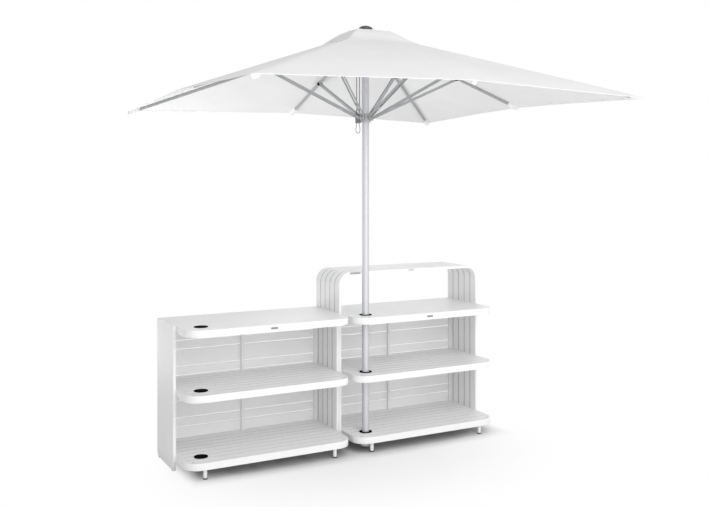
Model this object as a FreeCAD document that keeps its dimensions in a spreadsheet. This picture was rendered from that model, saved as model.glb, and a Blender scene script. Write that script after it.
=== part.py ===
import FreeCAD, Part
import math
import os
import re
import Sketcher
from FreeCAD import Placement, Rotation, Vector

# Bar counter of two linked modules, one of them with an arch, and a square folding parasol whose
# pole stands in the arched module. The origin is on the floor under the pole, +X runs along the
# counter, the open front faces -Y and +Z is up.

# Driving sizes in millimetres, with counts, and angles in degrees.
SIZES = {
    # Modules and their side panels
    "module_width": 1325,
    "module_gap": 2,
    "panel_depth": 440,
    "panel_thick": 20,
    "panel_corner": 45,
    "slat_count": 5,
    "slat_gap": 6,
    "slat_edge": 4,
    "arch_rise": 328,
    "arch_radius": 105,
    # Boards: heights of their upper faces, outline and build-up
    "high_height": 1041,
    "low_rise": 9,
    "middle_height": 594,
    "bottom_height": 124,
    "board_thick": 51,
    "board_reach": 290,
    "board_corner": 118,
    "edge_width": 32,
    "skin_thick": 12,
    "ledge_width": 15,
    "bearer_width": 40,
    "bay_count": 3,
    "plank_thick": 18,
    "plank_count": 8,
    "plank_gap": 5,
    "plank_fit": 0.3,
    # Slatted back and its posts
    "back_inset": 28,
    "back_thick": 15,
    "back_start": 82,
    "back_gap": 7,
    "back_clear": 2,
    "wide_count": 5,
    "narrow_share": 0.5,
    "post_width": 25,
    "post_count": 3,
    # Pole holes, collars and caps
    "hole_side": 163,
    "hole_front": 155,
    "collar_radius": 50,
    "collar_lip": 4,
    "sleeve_radius": 40,
    "sleeve_fit": 0.3,
    "boss_wall": 12,
    "cap_depth": 30,
    "cap_wall": 3,
    # Legs, floor pads, link bolts and oval plates
    "leg_side": 158,
    "leg_front": 41,
    "leg_radius": 14,
    "pad_height": 8,
    "pad_radius": 16,
    "panel_pad_radius": 9,
    "bolt_radius": 5,
    "bolt_fit": 0.1,
    "bolt_head_radius": 10,
    "bolt_head_height": 5,
    "plate_length": 56,
    "plate_height": 16,
    "plate_thick": 1.5,
    # Pole and the socket that it stands in
    "pole_radius": 27.5,
    "pole_wall": 3,
    "pole_fit": 0.5,
    "socket_wall": 8,
    "socket_floor": 6,
    "socket_depth": 55,
    "seat_gap": 0.3,
    # Crown, finial and vent flap
    "crown_level": 3232,
    "crown_pin_ring": 55,
    "crown_radius": 75,
    "crown_core": 38,
    "crown_depth": 44,
    "hub_radius": 30,
    "hub_height": 18,
    "crown_fit": 0.1,
    "slot_fit": 0.5,
    "finial_radius": 56,
    "finial_height": 38,
    "finial_rim": 16,
    "stem_radius": 12,
    "flap_half": 300,
    "flap_brow_half": 145,
    "flap_top_half": 40,
    "flap_brow_drop": 12,
    "flap_hem_drop": 112,
    # Runner and the fold
    "runner_level": 2588,
    "runner_pin_ring": 60,
    "runner_radius": 40,
    "runner_depth": 68,
    "runner_fit": 0.5,
    "lug_radius": 11,
    "lug_fit": 0.4,
    "closing_travel": 1100,
    "fold_lean": 2.5,
    "arch_clear": 60,
    # Ribs, struts and their pins
    "rib_count": 8,
    "rib_width": 15,
    "rib_height": 22,
    "rib_start": 36,
    "rib_tip_gap": 12,
    "tongue_width": 8,
    "tongue_radius": 9,
    "pin_radius": 3,
    "pin_fit": 0.05,
    "pin_seat_fit": 0.02,
    "strut_bar": 4,
    "strut_height": 18,
    "fork_fit": 0.8,
    "spacer_place": 150,
    "spacer_length": 40,
    "rivet_radius": 8,
    "rivet_head": 2.5,
    # Canopy
    "canopy_half": 1500,
    "corner_tip_level": 2672,
    "side_tip_level": 2720,
    "vent_half": 180,
    "cloth_thick": 2.5,
    "corner_cloth_lift": 2.2,
    "side_cloth_lift": 0.7,
    "seam_gap": 0.4,
    # Ropes and the cleat on the runner
    "rope_bearing": 157.5,
    "rope_radius": 3,
    "near_rope": 48,
    "far_rope": 70,
    "cleat_reach": 80,
    "cleat_width": 16,
    "cleat_drop": 8,
    "cleat_fit": 0.3,
    "loop_centre": 60,
    "loop_radius": 2.25,
    # One overrun for every cut that passes right through
    "overrun": 10,
}

# Route of the hanging rope loop: places beside its middle and below the cleat.
LOOP_ROUTE = [
    (-9.0, 0),
    (-12.5, -21),
    (-16.0, -44),
    (-15.0, -68.2),
    (-6.2, -77),
    (6.2, -77),
    (15.0, -68.2),
    (16.4, -45),
    (12.9, -21),
    (9.0, 0),
]

SIZE_NAME = re.compile(r"\b(" + "|".join(SIZES) + r")\b")

doc = FreeCAD.newDocument("BarCounter")
sheet = doc.addObject("Spreadsheet::Sheet", "Sizes")
for row, (name, number) in enumerate(SIZES.items(), start=1):
    sheet.set(f"A{row}", str(number))
    sheet.setAlias(f"A{row}", name)
doc.recompute()

# Lengths that several pieces share, written in the driving sizes.
SLAT_PITCH = "(panel_depth / slat_count)"
INNER_RIGHT = "(module_width - panel_thick)"
BACK_FRONT = "(panel_depth - back_inset - back_thick)"
POST_FRONT = "(panel_depth - back_inset - back_thick - post_width)"
HOLE_Y = "(hole_front - board_reach)"
HOLE_RADIUS = "(sleeve_radius + sleeve_fit)"
BOARD_UNDER = "(bottom_height - board_thick)"
LOW_HEIGHT = "(high_height + low_rise)"
ARCH_TOP = "(high_height + arch_rise)"
LOW_X = "(0 - hole_side - module_width - module_gap)"
HIGH_X = "(0 - hole_side)"
MODULE_Y = "(board_reach - hole_front)"
FORK_GAP = "(rib_width + 2 * fork_fit)"
FORK_WIDTH = "(rib_width + 2 * fork_fit + 2 * strut_bar)"
CLEAT_TOP = "(runner_level + runner_depth / 2)"
CLEAT_FOOT = "(runner_level - runner_depth / 2 - cleat_drop)"
CROWN_TOP = "(crown_level + crown_depth / 2)"
FLAP_TOP = "(crown_level + crown_depth / 2 + hub_height + cloth_thick)"

nodes = []


def bound(text):
    """Write the size names in an expression as references to the sheet."""
    return SIZE_NAME.sub(r"Sizes.\1", text)


def value(text):
    """Work out an expression in size names, in millimetres."""
    return float(sheet.evalExpression(bound(text)))


def origin_feature(body, role):
    """Find one of a body's own origin planes or axes."""
    return next(item for item in body.Origin.OriginFeatures if item.Role == role)


def new_body(label, is_node=True):
    """Start a body, and count it as a sub-part of its own unless it goes into a group."""
    body = doc.addObject("PartDesign::Body", label)
    body.Label = label
    if is_node:
        nodes.append(body)
    return body


def place(item, x="0", y="0", z="0"):
    """Tie an object's position to the sheet."""
    for axis, text in (("x", x), ("y", y), ("z", z)):
        item.setExpression(f"Placement.Base.{axis}", bound(text))


def group(label, items):
    """Join separate solids into one sub-part."""
    joined = doc.addObject("Part::Compound", label)
    joined.Label = label
    joined.Links = items
    nodes.append(joined)
    return joined


def tie(drawing, kind, text, *geometry):
    """Add one sketch dimension bound to the sheet."""
    number = drawing.addConstraint(Sketcher.Constraint(kind, *geometry, value(text)))
    drawing.setExpression(f"Constraints[{number}]", bound(text))


def tie_point(drawing, spot, *geometry):
    """Dimension a sketch point from the sketch origin."""
    tie(drawing, "DistanceX", spot[0], -1, 1, *geometry)
    tie(drawing, "DistanceY", spot[1], -1, 1, *geometry)


def shifted(corner, direction):
    """The point one corner radius away from a corner, along an edge."""
    x, y, radius = corner
    return f"{x} + {round(direction.x)} * ({radius})", f"{y} + {round(direction.y)} * ({radius})"


def spot_of(point):
    """A point's place on the sketch."""
    return Vector(value(point[0]), value(point[1]), 0)


def add_outline(drawing, corners):
    """Draw a closed outline; a corner of two square edges that carries a radius is rounded."""
    edges = []
    turns = []
    for index, corner in enumerate(corners):
        if len(corner) == 2:
            turns.append((corner, corner))
            continue
        here = spot_of(corner)
        before = (spot_of(corners[index - 1]) - here).normalize()
        after = (spot_of(corners[(index + 1) % len(corners)]) - here).normalize()
        turns.append((shifted(corner, before), shifted(corner, after)))
    for index, (corner, (start, leave)) in enumerate(zip(corners, turns)):
        first, last = spot_of(start), spot_of(leave)
        if len(corner) == 3:
            centre = first + last - spot_of(corner)
            middle = centre + (spot_of(corner) - centre).normalize() * value(corner[2])
            arc = drawing.addGeometry(Part.Arc(first, middle, last))
            turns_left = (middle - first).cross(last - middle).z > 0
            ends = (1, 2) if turns_left else (2, 1)
            edges.append((arc, *ends, start))
            tie(drawing, "Radius", corner[2], arc)
        following = turns[(index + 1) % len(turns)][0]
        if (spot_of(following) - last).Length > value("seam_gap") / value("overrun"):
            line = drawing.addGeometry(Part.LineSegment(last, spot_of(following)))
            edges.append((line, 1, 2, leave))
    for index, (edge, start_end, far_end, start) in enumerate(edges):
        following = edges[(index + 1) % len(edges)]
        meeting = Sketcher.Constraint("Coincident", edge, far_end, following[0], following[1])
        drawing.addConstraint(meeting)
        tie_point(drawing, start, edge, start_end)


def add_circle(drawing, x, y, radius):
    """Draw one circle."""
    circle = drawing.addGeometry(Part.Circle(spot_of((x, y)), Vector(0, 0, 1), value(radius)))
    tie_point(drawing, (x, y), circle, 3)
    tie(drawing, "Radius", radius, circle)


def sketch(body, plane, outlines=(), circles=(), level="0"):
    """Make a constrained sketch on one of the body's origin planes, raised along its normal."""
    drawing = body.newObject("Sketcher::SketchObject", body.Name + "_sketch")
    drawing.AttachmentSupport = [(origin_feature(body, plane), "")]
    drawing.MapMode = "FlatFace"
    drawing.setExpression("AttachmentOffset.Base.z", bound(level))
    for corners in outlines:
        add_outline(drawing, corners)
    for circle in circles:
        add_circle(drawing, *circle)
    return drawing


def shape_step(body, kind, drawing, length, symmetric=False, flipped=False):
    """Pad or pocket a sketch by a length."""
    step = body.newObject("PartDesign::" + kind, body.Name + "_" + kind.lower())
    step.Profile = drawing
    step.setExpression("Length", bound(length))
    step.SideType = "Symmetric" if symmetric else "One side"
    step.Reversed = flipped
    return step


def pad(body, drawing, length, **options):
    """Add material from a sketch."""
    return shape_step(body, "Pad", drawing, length, **options)


def pocket(body, drawing, length, **options):
    """Cut a sketch away, and make sure that it cut something."""
    doc.recompute()
    before = body.Shape.Volume
    step = shape_step(body, "Pocket", drawing, length, **options)
    doc.recompute()
    if body.Shape.Volume >= before:
        raise RuntimeError(f"a pocket in {body.Label} cuts nothing")
    return step


def repeat(body, features, axis, length, count, whole=False):
    """Repeat features, or the whole shape, in a row along one of the body's axes."""
    doc.recompute()
    pattern = body.newObject("PartDesign::LinearPattern", body.Name + "_row")
    if whole:
        pattern.TransformMode = "Whole shape"
    else:
        pattern.Originals = features
    pattern.Direction = (origin_feature(body, axis), [""])
    pattern.setExpression("Length", bound(length))
    pattern.setExpression("Occurrences", bound(count))
    body.Tip = pattern


def ring_of(body, features, count):
    """Repeat features evenly round the body's Z axis."""
    doc.recompute()
    pattern = body.newObject("PartDesign::PolarPattern", body.Name + "_ring")
    pattern.Originals = features
    pattern.Axis = (origin_feature(body, "Z_Axis"), [""])
    pattern.setExpression("Occurrences", bound(count))
    body.Tip = pattern


def revolve(body, corners):
    """Turn a half section in the XZ plane about the body's Z axis."""
    drawing = sketch(body, "XZ_Plane", [corners])
    turned = body.newObject("PartDesign::Revolution", body.Name + "_turned")
    turned.Profile = drawing
    turned.ReferenceAxis = (drawing, ["V_Axis"])
    return turned


def box_corners(x0, x1, y0, y1):
    """Corners of a plain rectangle."""
    return [(x0, y0), (x1, y0), (x1, y1), (x0, y1)]


# Side panels and arch


def slat_panel(label, module_x, side_x, top, bolt_levels=()):
    """Five upright slats in a row, with holes for the link bolts where modules meet."""
    body = new_body(label)
    slat = [
        ("0", "slat_gap / 2", "slat_edge"),
        ("panel_thick", "slat_gap / 2", "slat_edge"),
        ("panel_thick", f"{SLAT_PITCH} - slat_gap / 2", "slat_edge"),
        ("0", f"{SLAT_PITCH} - slat_gap / 2", "slat_edge"),
    ]
    first = pad(body, sketch(body, "XY_Plane", [slat], level="pad_height"), f"{top} - pad_height")
    repeat(body, [first], "Y_Axis", f"{SLAT_PITCH} * (slat_count - 1)", "slat_count")
    if bolt_levels:
        circles = [(y, z, "bolt_radius + bolt_fit") for y in BOLT_PLACES for z in bolt_levels]
        pocket(body, sketch(body, "YZ_Plane", circles=circles), "panel_thick + overrun", flipped=True)
    place(body, f"{module_x} + {side_x}", MODULE_Y)


def smooth_panel(label):
    """Plain end panel of the low module, with a rounded lower back corner."""
    body = new_body(label)
    outline = [
        ("0", "pad_height"),
        ("panel_depth", "pad_height", "panel_corner"),
        ("panel_depth", f"{LOW_HEIGHT} - board_thick"),
        ("0", f"{LOW_HEIGHT} - board_thick"),
    ]
    pad(body, sketch(body, "YZ_Plane", [outline]), "panel_thick")
    place(body, LOW_X, MODULE_Y)


def arch(label):
    """Five slats bent over the arched module, standing on its side slats."""
    body = new_body(label)
    outline = [
        ("0", "high_height"),
        ("0", ARCH_TOP, "arch_radius"),
        ("module_width", ARCH_TOP, "arch_radius"),
        ("module_width", "high_height"),
        (INNER_RIGHT, "high_height"),
        (INNER_RIGHT, f"{ARCH_TOP} - panel_thick", "arch_radius - panel_thick"),
        ("panel_thick", f"{ARCH_TOP} - panel_thick", "arch_radius - panel_thick"),
        ("panel_thick", "high_height"),
    ]
    drawing = sketch(body, "XZ_Plane", [outline])
    first = pad(body, drawing, f"{SLAT_PITCH} - slat_gap", flipped=True)
    repeat(body, [first], "Y_Axis", f"{SLAT_PITCH} * (slat_count - 1)", "slat_count")
    place(body, HIGH_X, f"{MODULE_Y} + slat_gap / 2")


# Boards


def board_front(inset, corner_cut):
    """Front corners of a board between the side panels, drawn in by an inset."""
    left, right = f"panel_thick + {inset}", f"{INNER_RIGHT} - ({inset})"
    front = f"{inset} - board_reach"
    radius = f"board_corner - ({corner_cut})"
    return [(left, front, radius), (right, front, radius)]


def top_board(label, module_x, height, covers_panels):
    """Top board: smooth skin, deep rounded edge and a hollow underside with a hole boss."""
    body = new_body(label)
    back = [(INNER_RIGHT, "panel_depth"), ("panel_thick", "panel_depth")]
    if covers_panels:
        back = [
            (INNER_RIGHT, "0"),
            ("module_width", "0"),
            ("module_width", "panel_depth"),
            ("0", "panel_depth"),
            ("0", "0"),
            ("panel_thick", "0"),
        ]
    pad(body, sketch(body, "XY_Plane", [board_front("0", "0") + back]), "board_thick")
    hollow = board_front("edge_width", "edge_width")
    hollow += [(f"{INNER_RIGHT} - edge_width", POST_FRONT), ("panel_thick + edge_width", POST_FRONT)]
    boss = ("hole_side", HOLE_Y, "sleeve_radius + sleeve_fit + boss_wall")
    drawing = sketch(body, "XY_Plane", [hollow], [boss])
    pocket(body, drawing, "board_thick - skin_thick", flipped=True)
    hole = sketch(body, "XY_Plane", circles=[("hole_side", HOLE_Y, HOLE_RADIUS)])
    pocket(body, hole, "board_thick + overrun", flipped=True)
    place(body, module_x, MODULE_Y, f"{height} - board_thick")


def shelf_frames(label, module_x):
    """Two shelf frames: edge band with a recess for planks, open bays and a hole boss."""
    body = new_body(label)
    back = [(INNER_RIGHT, BACK_FRONT), ("panel_thick", BACK_FRONT)]
    pad(body, sketch(body, "XY_Plane", [board_front("0", "0") + back]), "board_thick")
    recess = board_front("edge_width", "edge_width")
    recess += [(f"{INNER_RIGHT} - edge_width", POST_FRONT), ("panel_thick + edge_width", POST_FRONT)]
    pocket(body, sketch(body, "XY_Plane", [recess], level="board_thick"), "plank_thick")
    margin = "edge_width + ledge_width"
    bay_room = f"(module_width - 2 * panel_thick - 2 * ({margin}) + bearer_width)"
    bay_left = f"panel_thick + {margin}"
    bay_right = f"{bay_left} + {bay_room} / bay_count - bearer_width"
    bay = box_corners(bay_left, bay_right, f"{margin} - board_reach", f"{POST_FRONT} - ledge_width")
    bays = pocket(body, sketch(body, "XY_Plane", [bay]), "board_thick", flipped=True)
    repeat(body, [bays], "X_Axis", f"{bay_room} * (bay_count - 1) / bay_count", "bay_count")
    boss = ("hole_side", HOLE_Y, "sleeve_radius + sleeve_fit + boss_wall")
    pad(body, sketch(body, "XY_Plane", circles=[boss]), "board_thick - plank_thick")
    hole = sketch(body, "XY_Plane", circles=[("hole_side", HOLE_Y, HOLE_RADIUS)])
    pocket(body, hole, "board_thick", flipped=True)
    repeat(body, [], "Z_Axis", "middle_height - bottom_height", "2", whole=True)
    place(body, module_x, MODULE_Y, BOARD_UNDER)


def shelf_planks(label, module_x):
    """Planks laid lengthwise in both shelf frames."""
    body = new_body(label)
    inset = "edge_width + plank_fit"
    back = f"{POST_FRONT} - plank_fit"
    outline = board_front(inset, inset)
    outline += [(f"{INNER_RIGHT} - ({inset})", back), (f"panel_thick + {inset}", back)]
    pad(body, sketch(body, "XY_Plane", [outline]), "plank_thick")
    front = f"({inset} - board_reach)"
    pitch = f"(({back} - {front}) / plank_count)"
    first_joint = f"({front} + {pitch})"
    joint_front, joint_back = f"{first_joint} - plank_gap / 2", f"{first_joint} + plank_gap / 2"
    slot = box_corners("0", "module_width", joint_front, joint_back)
    cut = pocket(body, sketch(body, "XY_Plane", [slot]), "plank_thick", flipped=True)
    repeat(body, [cut], "Y_Axis", f"{pitch} * (plank_count - 2)", "plank_count - 1")
    hole = sketch(body, "XY_Plane", circles=[("hole_side", HOLE_Y, HOLE_RADIUS)])
    pocket(body, hole, "plank_thick", flipped=True)
    repeat(body, [], "Z_Axis", "middle_height - bottom_height", "2", whole=True)
    place(body, module_x, MODULE_Y, "bottom_height - plank_thick")


# Slatted backs


def back_boards(label, module_x, height):
    """Wide and narrow boards in turn up to the top board, with gaps that light passes through."""
    body = new_body(label)
    room = f"({height} - board_thick - back_start - back_clear - 2 * back_gap * (wide_count - 1))"
    wide = f"({room} / (wide_count + narrow_share * (wide_count - 1)))"
    narrow = f"({wide} * narrow_share)"
    pitch = f"({wide} + {narrow} + 2 * back_gap)"
    narrow_foot = f"{wide} + back_gap"
    for foot, width, count in (("0", wide, "wide_count"), (narrow_foot, narrow, "wide_count - 1")):
        board = box_corners("panel_thick", INNER_RIGHT, foot, f"{foot} + {width}")
        first = pad(body, sketch(body, "XZ_Plane", [board]), "back_thick", flipped=True)
        repeat(body, [first], "Z_Axis", f"{pitch} * ({count} - 1)", count)
    place(body, module_x, f"{MODULE_Y} + {BACK_FRONT}", "back_start")


def back_posts(label, module_x, height):
    """Square posts between the shelves and under the top board, in front of the back boards."""
    body = new_body(label)
    for foot, next_board in (("bottom_height", "middle_height"), ("middle_height", height)):
        post = box_corners("panel_thick", "panel_thick + post_width", POST_FRONT, BACK_FRONT)
        drawing = sketch(body, "XY_Plane", [post], level=foot)
        first = pad(body, drawing, f"{next_board} - board_thick - {foot}")
        room = "(module_width - 2 * panel_thick - post_width)"
        repeat(body, [first], "X_Axis", room, "post_count")
    place(body, module_x, MODULE_Y)


# Collars, caps and the pole socket


def collar(height):
    """Flanged ring that guides the pole through one board."""
    body = new_body("collar", is_node=False)
    section = [
        ("pole_radius + pole_fit", "0 - board_thick"),
        ("sleeve_radius", "0 - board_thick"),
        ("sleeve_radius", "0"),
        ("collar_radius", "0"),
        ("collar_radius", "collar_lip"),
        ("pole_radius + pole_fit", "collar_lip"),
    ]
    revolve(body, section)
    place(body, z=height)
    return body


def hole_cap(label, height):
    """Cap that closes a pole hole and lifts out of it."""
    body = new_body(label)
    section = [
        ("sleeve_radius - cap_wall", "0 - cap_depth"),
        ("sleeve_radius", "0 - cap_depth"),
        ("sleeve_radius", "seat_gap"),
        ("collar_radius", "seat_gap"),
        ("collar_radius", "collar_lip"),
        ("0", "collar_lip"),
        ("0", "collar_lip - cap_wall"),
        ("sleeve_radius - cap_wall", "collar_lip - cap_wall"),
    ]
    revolve(body, section)
    place(body, "0 - module_width - module_gap", z=height)


def pole_socket(label):
    """Closed cup under the bottom shelf that carries the pole."""
    body = new_body(label)
    section = [
        ("0", "0 - socket_depth"),
        ("pole_radius + pole_fit + socket_wall", "0 - socket_depth"),
        ("pole_radius + pole_fit + socket_wall", "0 - collar_lip"),
        ("collar_radius", "0 - collar_lip"),
        ("collar_radius", "0"),
        ("pole_radius + pole_fit", "0"),
        ("pole_radius + pole_fit", "socket_floor - socket_depth"),
        ("0", "socket_floor - socket_depth"),
    ]
    revolve(body, section)
    place(body, z=BOARD_UNDER)


# Legs, pads, bolts and plates

BOLT_PLACES = (f"{SLAT_PITCH} * 3 / 2", f"{SLAT_PITCH} * 7 / 2")
BOLT_LEVELS = (
    "(bottom_height + middle_height - board_thick) / 2",
    "(middle_height + high_height - board_thick) / 2",
)


def front_legs(label):
    """Round legs under the front corners of the bottom shelves."""
    body = new_body(label)
    circles = []
    for module_x in (LOW_X, HIGH_X):
        for side in ("leg_side", "module_width - leg_side"):
            circles.append((f"{module_x} + {side}", "leg_front - board_reach", "leg_radius"))
    drawing = sketch(body, "XY_Plane", circles=circles, level="pad_height")
    pad(body, drawing, f"{BOARD_UNDER} - pad_height")
    place(body, y=MODULE_Y)


def floor_pads(label):
    """Rubber pads under the legs and under the first and last slat of each panel."""
    body = new_body(label)
    circles = []
    for module_x in (LOW_X, HIGH_X):
        for side in ("leg_side", "module_width - leg_side"):
            circles.append((f"{module_x} + {side}", "leg_front - board_reach", "pad_radius"))
        for side in ("panel_thick / 2", "module_width - panel_thick / 2"):
            for along in (f"{SLAT_PITCH} / 2", f"panel_depth - {SLAT_PITCH} / 2"):
                circles.append((f"{module_x} + {side}", along, "panel_pad_radius"))
    pad(body, sketch(body, "XY_Plane", circles=circles), "pad_height")
    place(body, y=MODULE_Y)


def link_bolts(label):
    """Bolts that join the two modules through their meeting panels, with a head at each end."""
    body = new_body(label)
    span = "(2 * panel_thick + module_gap)"
    heads = [("0 - bolt_head_height", "bolt_head_radius", "bolt_head_height")]
    heads.append(("0", "bolt_radius", span))
    heads.append((span, "bolt_head_radius", "bolt_head_height"))
    for level, radius, length in heads:
        circles = [(y, z, radius) for y in BOLT_PLACES for z in BOLT_LEVELS]
        pad(body, sketch(body, "YZ_Plane", circles=circles, level=level), length)
    place(body, f"{HIGH_X} - module_gap - panel_thick", MODULE_Y)


def oval_plates(label):
    """Blank oval plates on the front edges of both top boards and of the arch."""
    body = new_body(label)
    plates = (
        (LOW_X, f"{LOW_HEIGHT} - board_thick / 2", "0 - board_reach"),
        (HIGH_X, "high_height - board_thick / 2", "0 - board_reach"),
        (HIGH_X, f"{ARCH_TOP} - panel_thick / 2", "slat_gap / 2"),
    )
    for module_x, level, front in plates:
        left = f"{module_x} + module_width / 2 - plate_length / 2"
        right = f"{module_x} + module_width / 2 + plate_length / 2"
        low, high = f"{level} - plate_height / 2", f"{level} + plate_height / 2"
        outline = [(x, z, "plate_height / 2") for x, z in box_corners(left, right, low, high)]
        pad(body, sketch(body, "XZ_Plane", [outline], level=f"0 - ({front})"), "plate_thick")
    place(body, y=MODULE_Y)


# Parasol: pole, crown, runner

POLE_FOOT = "(bottom_height - board_thick - socket_depth + socket_floor + seat_gap)"
CROWN_PIN_LENGTH = "(tongue_width + 2 * slot_fit + 2 * tongue_radius)"


def pole(label):
    """Straight tube from the socket to the top of the crown."""
    body = new_body(label)
    rings = [("0", "0", "pole_radius"), ("0", "0", "pole_radius - pole_wall")]
    drawing = sketch(body, "XY_Plane", circles=rings, level=POLE_FOOT)
    pad(body, drawing, f"{CROWN_TOP} - {POLE_FOOT}")


def crown(label):
    """Slotted hub at the head of the pole in which the ribs hinge."""
    body = new_body(label)
    bore = ("0", "0", "pole_radius + crown_fit")
    drawing = sketch(body, "XY_Plane", circles=[("0", "0", "crown_radius"), bore])
    pad(body, drawing, "crown_depth", symmetric=True)
    hub = sketch(body, "XY_Plane", circles=[("0", "0", "hub_radius")], level="crown_depth / 2")
    pad(body, hub, "hub_height")
    slot = box_corners("crown_core", "crown_radius + overrun", "0 - crown_depth", "crown_depth")
    slots = pocket(body, sketch(body, "XZ_Plane", [slot]), "tongue_width + 2 * slot_fit", symmetric=True)
    hole = sketch(body, "XZ_Plane", circles=[("crown_pin_ring", "0", "pin_radius + pin_seat_fit")])
    holes = pocket(body, hole, CROWN_PIN_LENGTH, symmetric=True)
    ring_of(body, [slots, holes], "rib_count")
    place(body, z="crown_level")


def hinge_pins(label, ring_radius, length, level):
    """Pins of one hinge ring, each lying across its rib or strut."""
    body = new_body(label)
    drawing = sketch(body, "XZ_Plane", circles=[(ring_radius, "0", "pin_radius")])
    first = pad(body, drawing, length, symmetric=True)
    ring_of(body, [first], "rib_count")
    place(body, z=level)


def finial(label):
    """Domed cap that holds the vent flap down, with a stem to the crown."""
    body = new_body(label)
    section = [
        ("0", "0 - cloth_thick - seat_gap"),
        ("stem_radius", "0 - cloth_thick - seat_gap"),
        ("stem_radius", "0"),
        ("finial_radius", "0"),
        ("finial_radius", "finial_rim"),
        ("finial_radius * 3 / 4", "finial_height * 3 / 4"),
        ("finial_radius / 3", "finial_height"),
        ("0", "finial_height"),
    ]
    revolve(body, section)
    place(body, z=f"{FLAP_TOP} + seat_gap")


def square_corners(half):
    """A square round the pole."""
    return box_corners(f"0 - {half}", half, f"0 - {half}", half)


def flap_loft(body, kind, drop):
    """Ruled loft through the hem, brow and top of the vent flap."""
    levels = (
        ("flap_half", "flap_hem_drop"),
        ("flap_brow_half", "flap_brow_drop"),
        ("flap_top_half", "0"),
    )
    sections = []
    for half, below in levels:
        level = f"0 - {below} - {drop}"
        sections.append(sketch(body, "XY_Plane", [square_corners(half)], level=level))
    loft = body.newObject("PartDesign::" + kind, body.Name + "_loft")
    loft.Profile = sections[0]
    loft.Sections = sections[1:]
    loft.Ruled = True
    doc.recompute()


def vent_flap(label):
    """Square flap over the vent of the canopy, with a flatter brow, held under the finial."""
    body = new_body(label)
    flap_loft(body, "AdditiveLoft", "0")
    flap_loft(body, "SubtractiveLoft", "cloth_thick")
    stem = sketch(body, "XY_Plane", circles=[("0", "0", "stem_radius + seat_gap")], level="overrun")
    pocket(body, stem, "2 * overrun")
    place(body, z=FLAP_TOP)


def runner(label):
    """Sliding ring with eight lugs for the struts."""
    body = new_body(label)
    drawing = sketch(body, "XY_Plane", circles=[("0", "0", "runner_radius")])
    pad(body, drawing, "runner_depth", symmetric=True)
    outline = [
        ("pole_radius + runner_fit", "0 - lug_radius"),
        ("runner_pin_ring + lug_radius", "0 - lug_radius", "lug_radius"),
        ("runner_pin_ring + lug_radius", "lug_radius", "lug_radius"),
        ("pole_radius + runner_fit", "lug_radius"),
    ]
    lug = pad(body, sketch(body, "XZ_Plane", [outline]), f"{FORK_GAP} - 2 * lug_fit", symmetric=True)
    hole = sketch(body, "XZ_Plane", circles=[("runner_pin_ring", "0", "pin_radius + pin_seat_fit")])
    holes = pocket(body, hole, f"{FORK_WIDTH} + overrun", symmetric=True)
    ring_of(body, [lug, holes], "rib_count")
    bore = sketch(body, "XY_Plane", circles=[("0", "0", "pole_radius + runner_fit")])
    pocket(body, bore, "runner_depth + overrun", symmetric=True)
    place(body, z="runner_level")


# Parasol: the fold

SIDE_REACH = "canopy_half"
CORNER_REACH = "(canopy_half * sqrt(2))"


class RibKind:
    """Lengths and angles of the ribs and struts to the corners, or to the middles of the sides."""

    def __init__(self, reach, tip_level, cloth_lift):
        ring = value("crown_pin_ring")
        self.slope = math.atan2(value("crown_level") - value(tip_level), value(reach) - ring)
        self.length = (value(reach) - value("rib_tip_gap") - ring) / math.cos(self.slope)
        self.offset = value("runner_pin_ring") - ring
        self.apart = value("crown_level - runner_level")
        closed = self.apart + value("closing_travel")
        lean = math.radians(value("fold_lean"))
        spread = self.offset * math.sin(lean) + closed * math.cos(lean)
        spread -= self.offset * math.cos(self.slope) + self.apart * math.sin(self.slope)
        self.joint = (closed**2 - self.apart**2) / (2 * spread)
        run = self.joint * math.cos(self.slope) - self.offset
        rise = self.apart - self.joint * math.sin(self.slope)
        self.strut = math.hypot(run, rise)
        self.strut_rise = math.atan2(rise, run)
        top = value("rib_height") / 2 / math.cos(self.slope) + value(cloth_lift)
        self.cloth_tip = value(tip_level) + top
        self.cloth_apex = value("crown_level") + ring * math.tan(self.slope) + top

    def travel_to(self, slope):
        """Way that the runner has gone down when the rib has a slope."""
        run = self.joint * math.cos(slope) - self.offset
        return math.sqrt(self.strut**2 - run**2) + self.joint * math.sin(slope) - self.apart

    def fold_at(self, travel):
        """Turns of the rib and of the strut when the runner has gone down by a travel."""
        apart = self.apart + travel
        squares = self.joint**2 + self.offset**2 + apart**2 - self.strut**2
        reach = math.hypot(self.offset, apart)
        slope = math.asin(squares / (2 * self.joint * reach)) - math.atan2(self.offset, apart)
        run = self.joint * math.cos(slope) - self.offset
        rise = apart - self.joint * math.sin(slope)
        return slope - self.slope, math.atan2(rise, run) - self.strut_rise


SIDE = RibKind(SIDE_REACH, "side_tip_level", "side_cloth_lift")
CORNER = RibKind(CORNER_REACH, "corner_tip_level", "corner_cloth_lift")
FULL_TURN = 360


def runner_travel():
    """Way down to the end of the fold: corner tips above the arch, or shorter ribs along the pole."""
    room = value(f"crown_level - {ARCH_TOP} - arch_clear")
    hanging = CORNER.length * math.cos(math.radians(value("fold_lean")))
    if hanging < room:
        return value("closing_travel")
    return CORNER.travel_to(math.asin(room / CORNER.length))


def bearing(index):
    """Direction of one of the ribs, counted from +X, in degrees."""
    return FULL_TURN * index / value("rib_count")


def kind_of(index):
    """Even ribs go to the sides and odd ones to the corners."""
    return (SIDE, CORNER)[index % 2]


def aim(body, index, radius, level, dip):
    """Put a rib or strut on its hinge and turn it to its bearing and dip."""
    turn = Rotation(Vector(0, 0, 1), bearing(index)) * Rotation(Vector(0, 1, 0), math.degrees(dip))
    foot = Rotation(Vector(0, 0, 1), bearing(index)).multVec(Vector(value(radius), 0, 0))
    body.Placement = Placement(foot + Vector(0, 0, value(level)), turn)


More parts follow.
